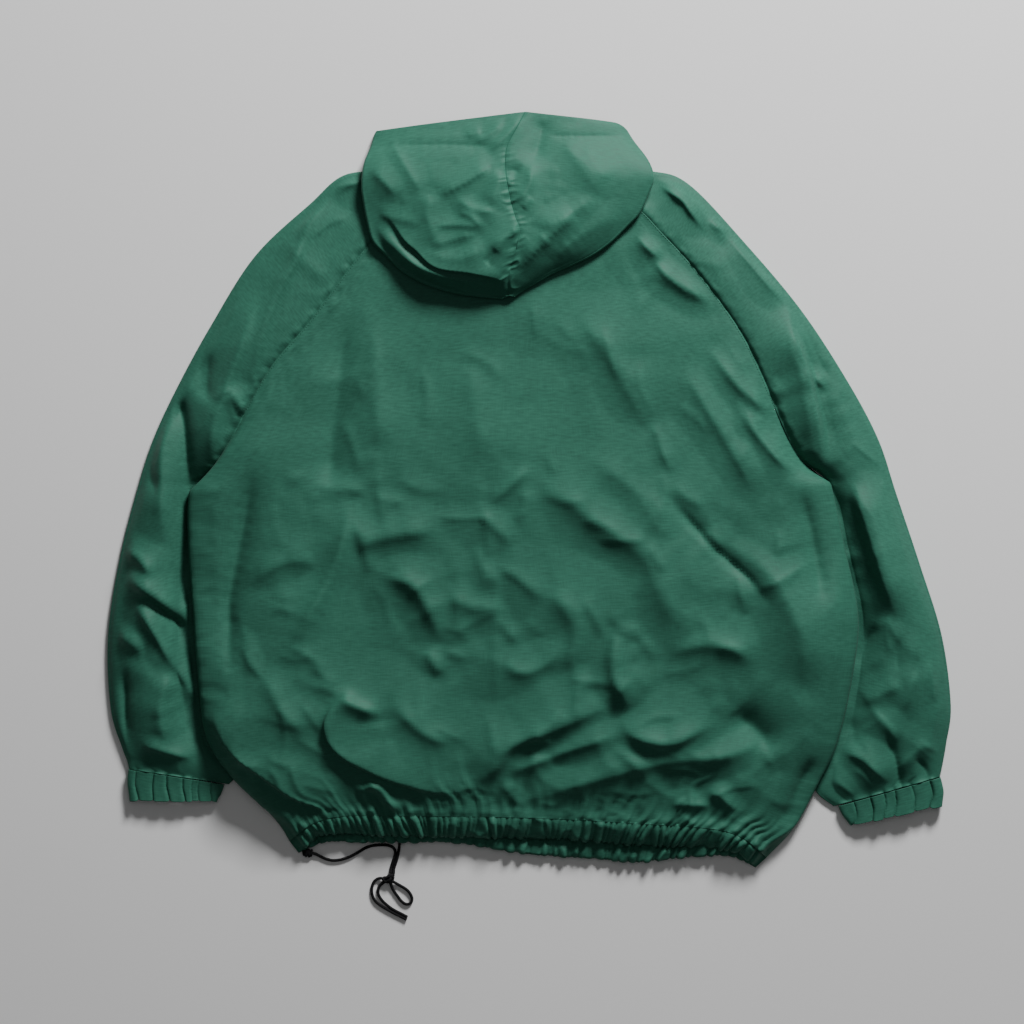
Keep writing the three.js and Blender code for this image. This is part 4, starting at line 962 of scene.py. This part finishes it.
def stitchRow(name, paths, pitch=3.1, long=2.2, thick=0.5):
    bm = bmesh.new()
    for path in paths:
        steps = np.linalg.norm(np.diff(path, axis=0), axis=1)
        length = np.concatenate([[0], np.cumsum(steps)])
        for at in np.arange(pitch / 2, length[-1] - pitch, pitch):
            ends = [np.array([np.interp(at + d, length, path[:, k]) for k in range(3)]) for d in (0, long)]
            ahead = Vector(ends[1] - ends[0]).normalized()
            turn = ahead.to_track_quat("X", "Z").to_matrix().to_4x4()
            grain = bmesh.ops.create_icosphere(bm, subdivisions=1, radius=1)
            middle = Vector((ends[0] + ends[1]) / 2)
            for vert in grain["verts"]:
                local = Vector((vert.co.x * long / 2, vert.co.y * thick / 2, vert.co.z * thick / 2))
                vert.co = (turn @ local + middle) * mm
    return addPiece(name, endMesh(bm, name))


def besideSeam(place, v, share, distance):  # a line on a folded sheet, at a distance from its seam
    seam, fold = lineOn(place, 0.0, v), lineOn(place, share, v)
    u = share * distance / np.linalg.norm((fold - seam)[:, :2], axis=1)
    return lineOn(place, u, v)


stitchLine = {"raglan": (4.5, 11), "hoodSeam": 3, "hoodHem": 1.25, "backEdge": 0.006}
stitchRows = []
for side in sides:
    down = np.linspace(0.11, 0.535, 500)
    raglan = [besideSeam(sleevePlaces[side], down, sleevePiece["topShare"], d) for d in stitchLine["raglan"]]
    stitchRows.append(stitchRow("stitches.raglan." + side, raglan))
    across = np.linspace(0.02, hoodPiece["topShare"] - 0.01, 400)
    hem = lineOn(hoodPlaces[side], across, stitchLine["hoodHem"] / (len(hoodPiece["sections"]) - 1))
    down = np.linspace(0.01, 0.97, 400)
    seam = besideSeam(hoodPlaces[side], down, hoodPiece["topShare"], stitchLine["hoodSeam"])
    stitchRows.append(stitchRow("stitches.hood." + side, [hem, seam]))
up = np.linspace(1 - raglanShare + 0.02, 0.97, 400)
backEdges = [lineOn(backPlace, u, up) for u in (stitchLine["backEdge"], 1 - stitchLine["backEdge"])]
stitchRows.append(stitchRow("stitches.back", backEdges))


# materials

def nodeTree(material):
    material.use_nodes = True
    tree = material.node_tree
    tree.nodes.clear()
    out = tree.nodes.new("ShaderNodeOutputMaterial")
    shader = tree.nodes.new("ShaderNodeBsdfPrincipled")
    tree.links.new(shader.outputs["BSDF"], out.inputs["Surface"])
    return tree, shader


def addNode(tree, kind, **settings):
    node = tree.nodes.new(kind)
    for key, value in settings.items():
        setattr(node, key, value)
    return node


def makeWeaveGroup():  # plain weave with uneven weft threads, softly mottled
    group = bpy.data.node_groups.new("plainWeave", "ShaderNodeTree")
    for way, name, kind in (
            ("INPUT", "Vector", "Vector"),
            ("INPUT", "Colour", "Color"),
            ("INPUT", "Slub", "Float"),
            ("INPUT", "Mottle", "Float"),
            ("OUTPUT", "Colour", "Color"),
            ("OUTPUT", "Roughness", "Float"),
            ("OUTPUT", "Height", "Float")):
        group.interface.new_socket(name=name, in_out=way, socket_type="NodeSocket" + kind)
    nodes, links = group.nodes, group.links
    start, end = nodes.new("NodeGroupInput"), nodes.new("NodeGroupOutput")

    def streaks(scale, detail):
        mapping = nodes.new("ShaderNodeMapping")
        mapping.inputs["Scale"].default_value = scale
        links.new(start.outputs["Vector"], mapping.inputs["Vector"])
        noise = nodes.new("ShaderNodeTexNoise")
        noise.inputs["Scale"].default_value = 1
        noise.inputs["Detail"].default_value = detail
        links.new(mapping.outputs["Vector"], noise.inputs["Vector"])
        return noise.outputs["Fac"]

    def maths(operation, a, b):
        node = nodes.new("ShaderNodeMath")
        node.operation = operation
        for socket, value in zip(node.inputs, (a, b)):
            if isinstance(value, (int, float)):
                socket.default_value = value
            else:
                links.new(value, socket)
        return node.outputs[0]

    weft = streaks((80, 620, 80), 4)
    warp = streaks((1300, 60, 60), 2)
    cloud = streaks((9, 9, 9), 4)
    mixed = maths("ADD", maths("MULTIPLY", weft, 0.7), maths("MULTIPLY", warp, 0.3))
    threads = maths("SUBTRACT", mixed, 0.5)
    tone = maths("ADD", maths("MULTIPLY", threads, start.outputs["Slub"]),
                 maths("MULTIPLY", maths("SUBTRACT", cloud, 0.5), start.outputs["Mottle"]))
    value = nodes.new("ShaderNodeHueSaturation")
    links.new(maths("ADD", tone, 1.0), value.inputs["Value"])
    links.new(start.outputs["Colour"], value.inputs["Color"])
    links.new(value.outputs["Color"], end.inputs["Colour"])
    links.new(maths("ADD", maths("MULTIPLY", threads, 0.3), 0.58), end.inputs["Roughness"])
    links.new(threads, end.inputs["Height"])
    return group


clothLook = {"colour": (0.030, 0.131, 0.088, 1), "slub": 1.1, "mottle": 0.3, "sheen": 0.03, "bump": 0.00012,
             "specular": 0.15}
threadLook = {"texture": "ShaderNodeTexNoise", "output": "Fac", "scale": 900, "roughness": 0.6,
              "specular": 0.5, "tones": ((0.012, 0.070, 0.047, 1), (0.030, 0.150, 0.104, 1))}
cordLook = {"texture": "ShaderNodeTexVoronoi", "output": "Distance", "scale": 1100, "roughness": 0.8,
            "specular": 0.2, "bump": 0.0003, "tones": ((0.004, 0.004, 0.005, 1), (0.010, 0.010, 0.011, 1))}
weaveGroup = makeWeaveGroup()


def clothMaterial(name, look):
    material = bpy.data.materials.new(name)
    tree, shader = nodeTree(material)
    uv = addNode(tree, "ShaderNodeUVMap", uv_map="UVMap")
    weave = addNode(tree, "ShaderNodeGroup", node_tree=weaveGroup)
    weave.inputs["Colour"].default_value = look["colour"]
    weave.inputs["Slub"].default_value = look["slub"]
    weave.inputs["Mottle"].default_value = look["mottle"]
    bump = addNode(tree, "ShaderNodeBump")
    bump.inputs["Strength"].default_value = 0.6
    bump.inputs["Distance"].default_value = look["bump"]
    tree.links.new(uv.outputs["UV"], weave.inputs["Vector"])
    tree.links.new(weave.outputs["Colour"], shader.inputs["Base Color"])
    tree.links.new(weave.outputs["Roughness"], shader.inputs["Roughness"])
    tree.links.new(weave.outputs["Height"], bump.inputs["Height"])
    tree.links.new(bump.outputs["Normal"], shader.inputs["Normal"])
    shader.inputs["Sheen Weight"].default_value = look["sheen"]
    shader.inputs["Specular IOR Level"].default_value = look["specular"]
    return material


def strandMaterial(name, look):  # thread or braided cord, with a fine grain of two tones
    material = bpy.data.materials.new(name)
    tree, shader = nodeTree(material)
    place = addNode(tree, "ShaderNodeTexCoord")
    grain = addNode(tree, look["texture"])
    grain.inputs["Scale"].default_value = look["scale"]
    ramp = addNode(tree, "ShaderNodeValToRGB")
    for stop, colour in zip(ramp.color_ramp.elements, look["tones"]):
        stop.color = colour
    tree.links.new(place.outputs["Object"], grain.inputs["Vector"])
    tree.links.new(grain.outputs[look["output"]], ramp.inputs["Fac"])
    tree.links.new(ramp.outputs["Color"], shader.inputs["Base Color"])
    if "bump" in look:
        bump = addNode(tree, "ShaderNodeBump")
        bump.inputs["Distance"].default_value = look["bump"]
        tree.links.new(grain.outputs[look["output"]], bump.inputs["Height"])
        tree.links.new(bump.outputs["Normal"], shader.inputs["Normal"])
    shader.inputs["Roughness"].default_value = look["roughness"]
    shader.inputs["Specular IOR Level"].default_value = look["specular"]
    return material


def dress(pieces, material):
    for piece in pieces:
        piece.data.materials.append(material)


clothPieces = [back, front, *casings.values(), *sleeves.values(), *cuffs.values(), *hoods.values()]
dress(clothPieces, clothMaterial("shellCloth", clothLook))
dress(stitchRows, strandMaterial("sewingThread", threadLook))
dress(cords, strandMaterial("braidedCord", cordLook))
print("materials made")

# floor and light

bm = bmesh.new()
bmesh.ops.create_grid(bm, x_segments=1, y_segments=1, size=6)
floor = addObject("floor", endMesh(bm, "floor"))
paleFloor = bpy.data.materials.new("paleFloor")
tree, shader = nodeTree(paleFloor)
shader.inputs["Base Color"].default_value = (0.86, 0.86, 0.86, 1)
shader.inputs["Roughness"].default_value = 0.9
floor.data.materials.append(paleFloor)


def areaLight(name, place, target, size, power):
    data = bpy.data.lights.new(name, "AREA")
    data.shape = "RECTANGLE"
    data.size, data.size_y = size
    data.energy = power
    light = addObject(name, data)
    light.location = place
    light.rotation_euler = (Vector(target) - Vector(place)).to_track_quat("-Z", "Y").to_euler()


areaLight("windowLight", (1.0, 2.62, 1.5), (0, 0, 0), (0.9, 0.7), 168)
areaLight("ceilingLight", (0, 0.3, 3.2), (0, 0, 0), (2.5, 2.5), 6)
world = bpy.data.worlds.new("room")
world.use_nodes = True
background = world.node_tree.nodes["Background"]
background.inputs["Color"].default_value = (1, 1, 1, 1)
background.inputs["Strength"].default_value = 0.08
bpy.context.scene.world = world
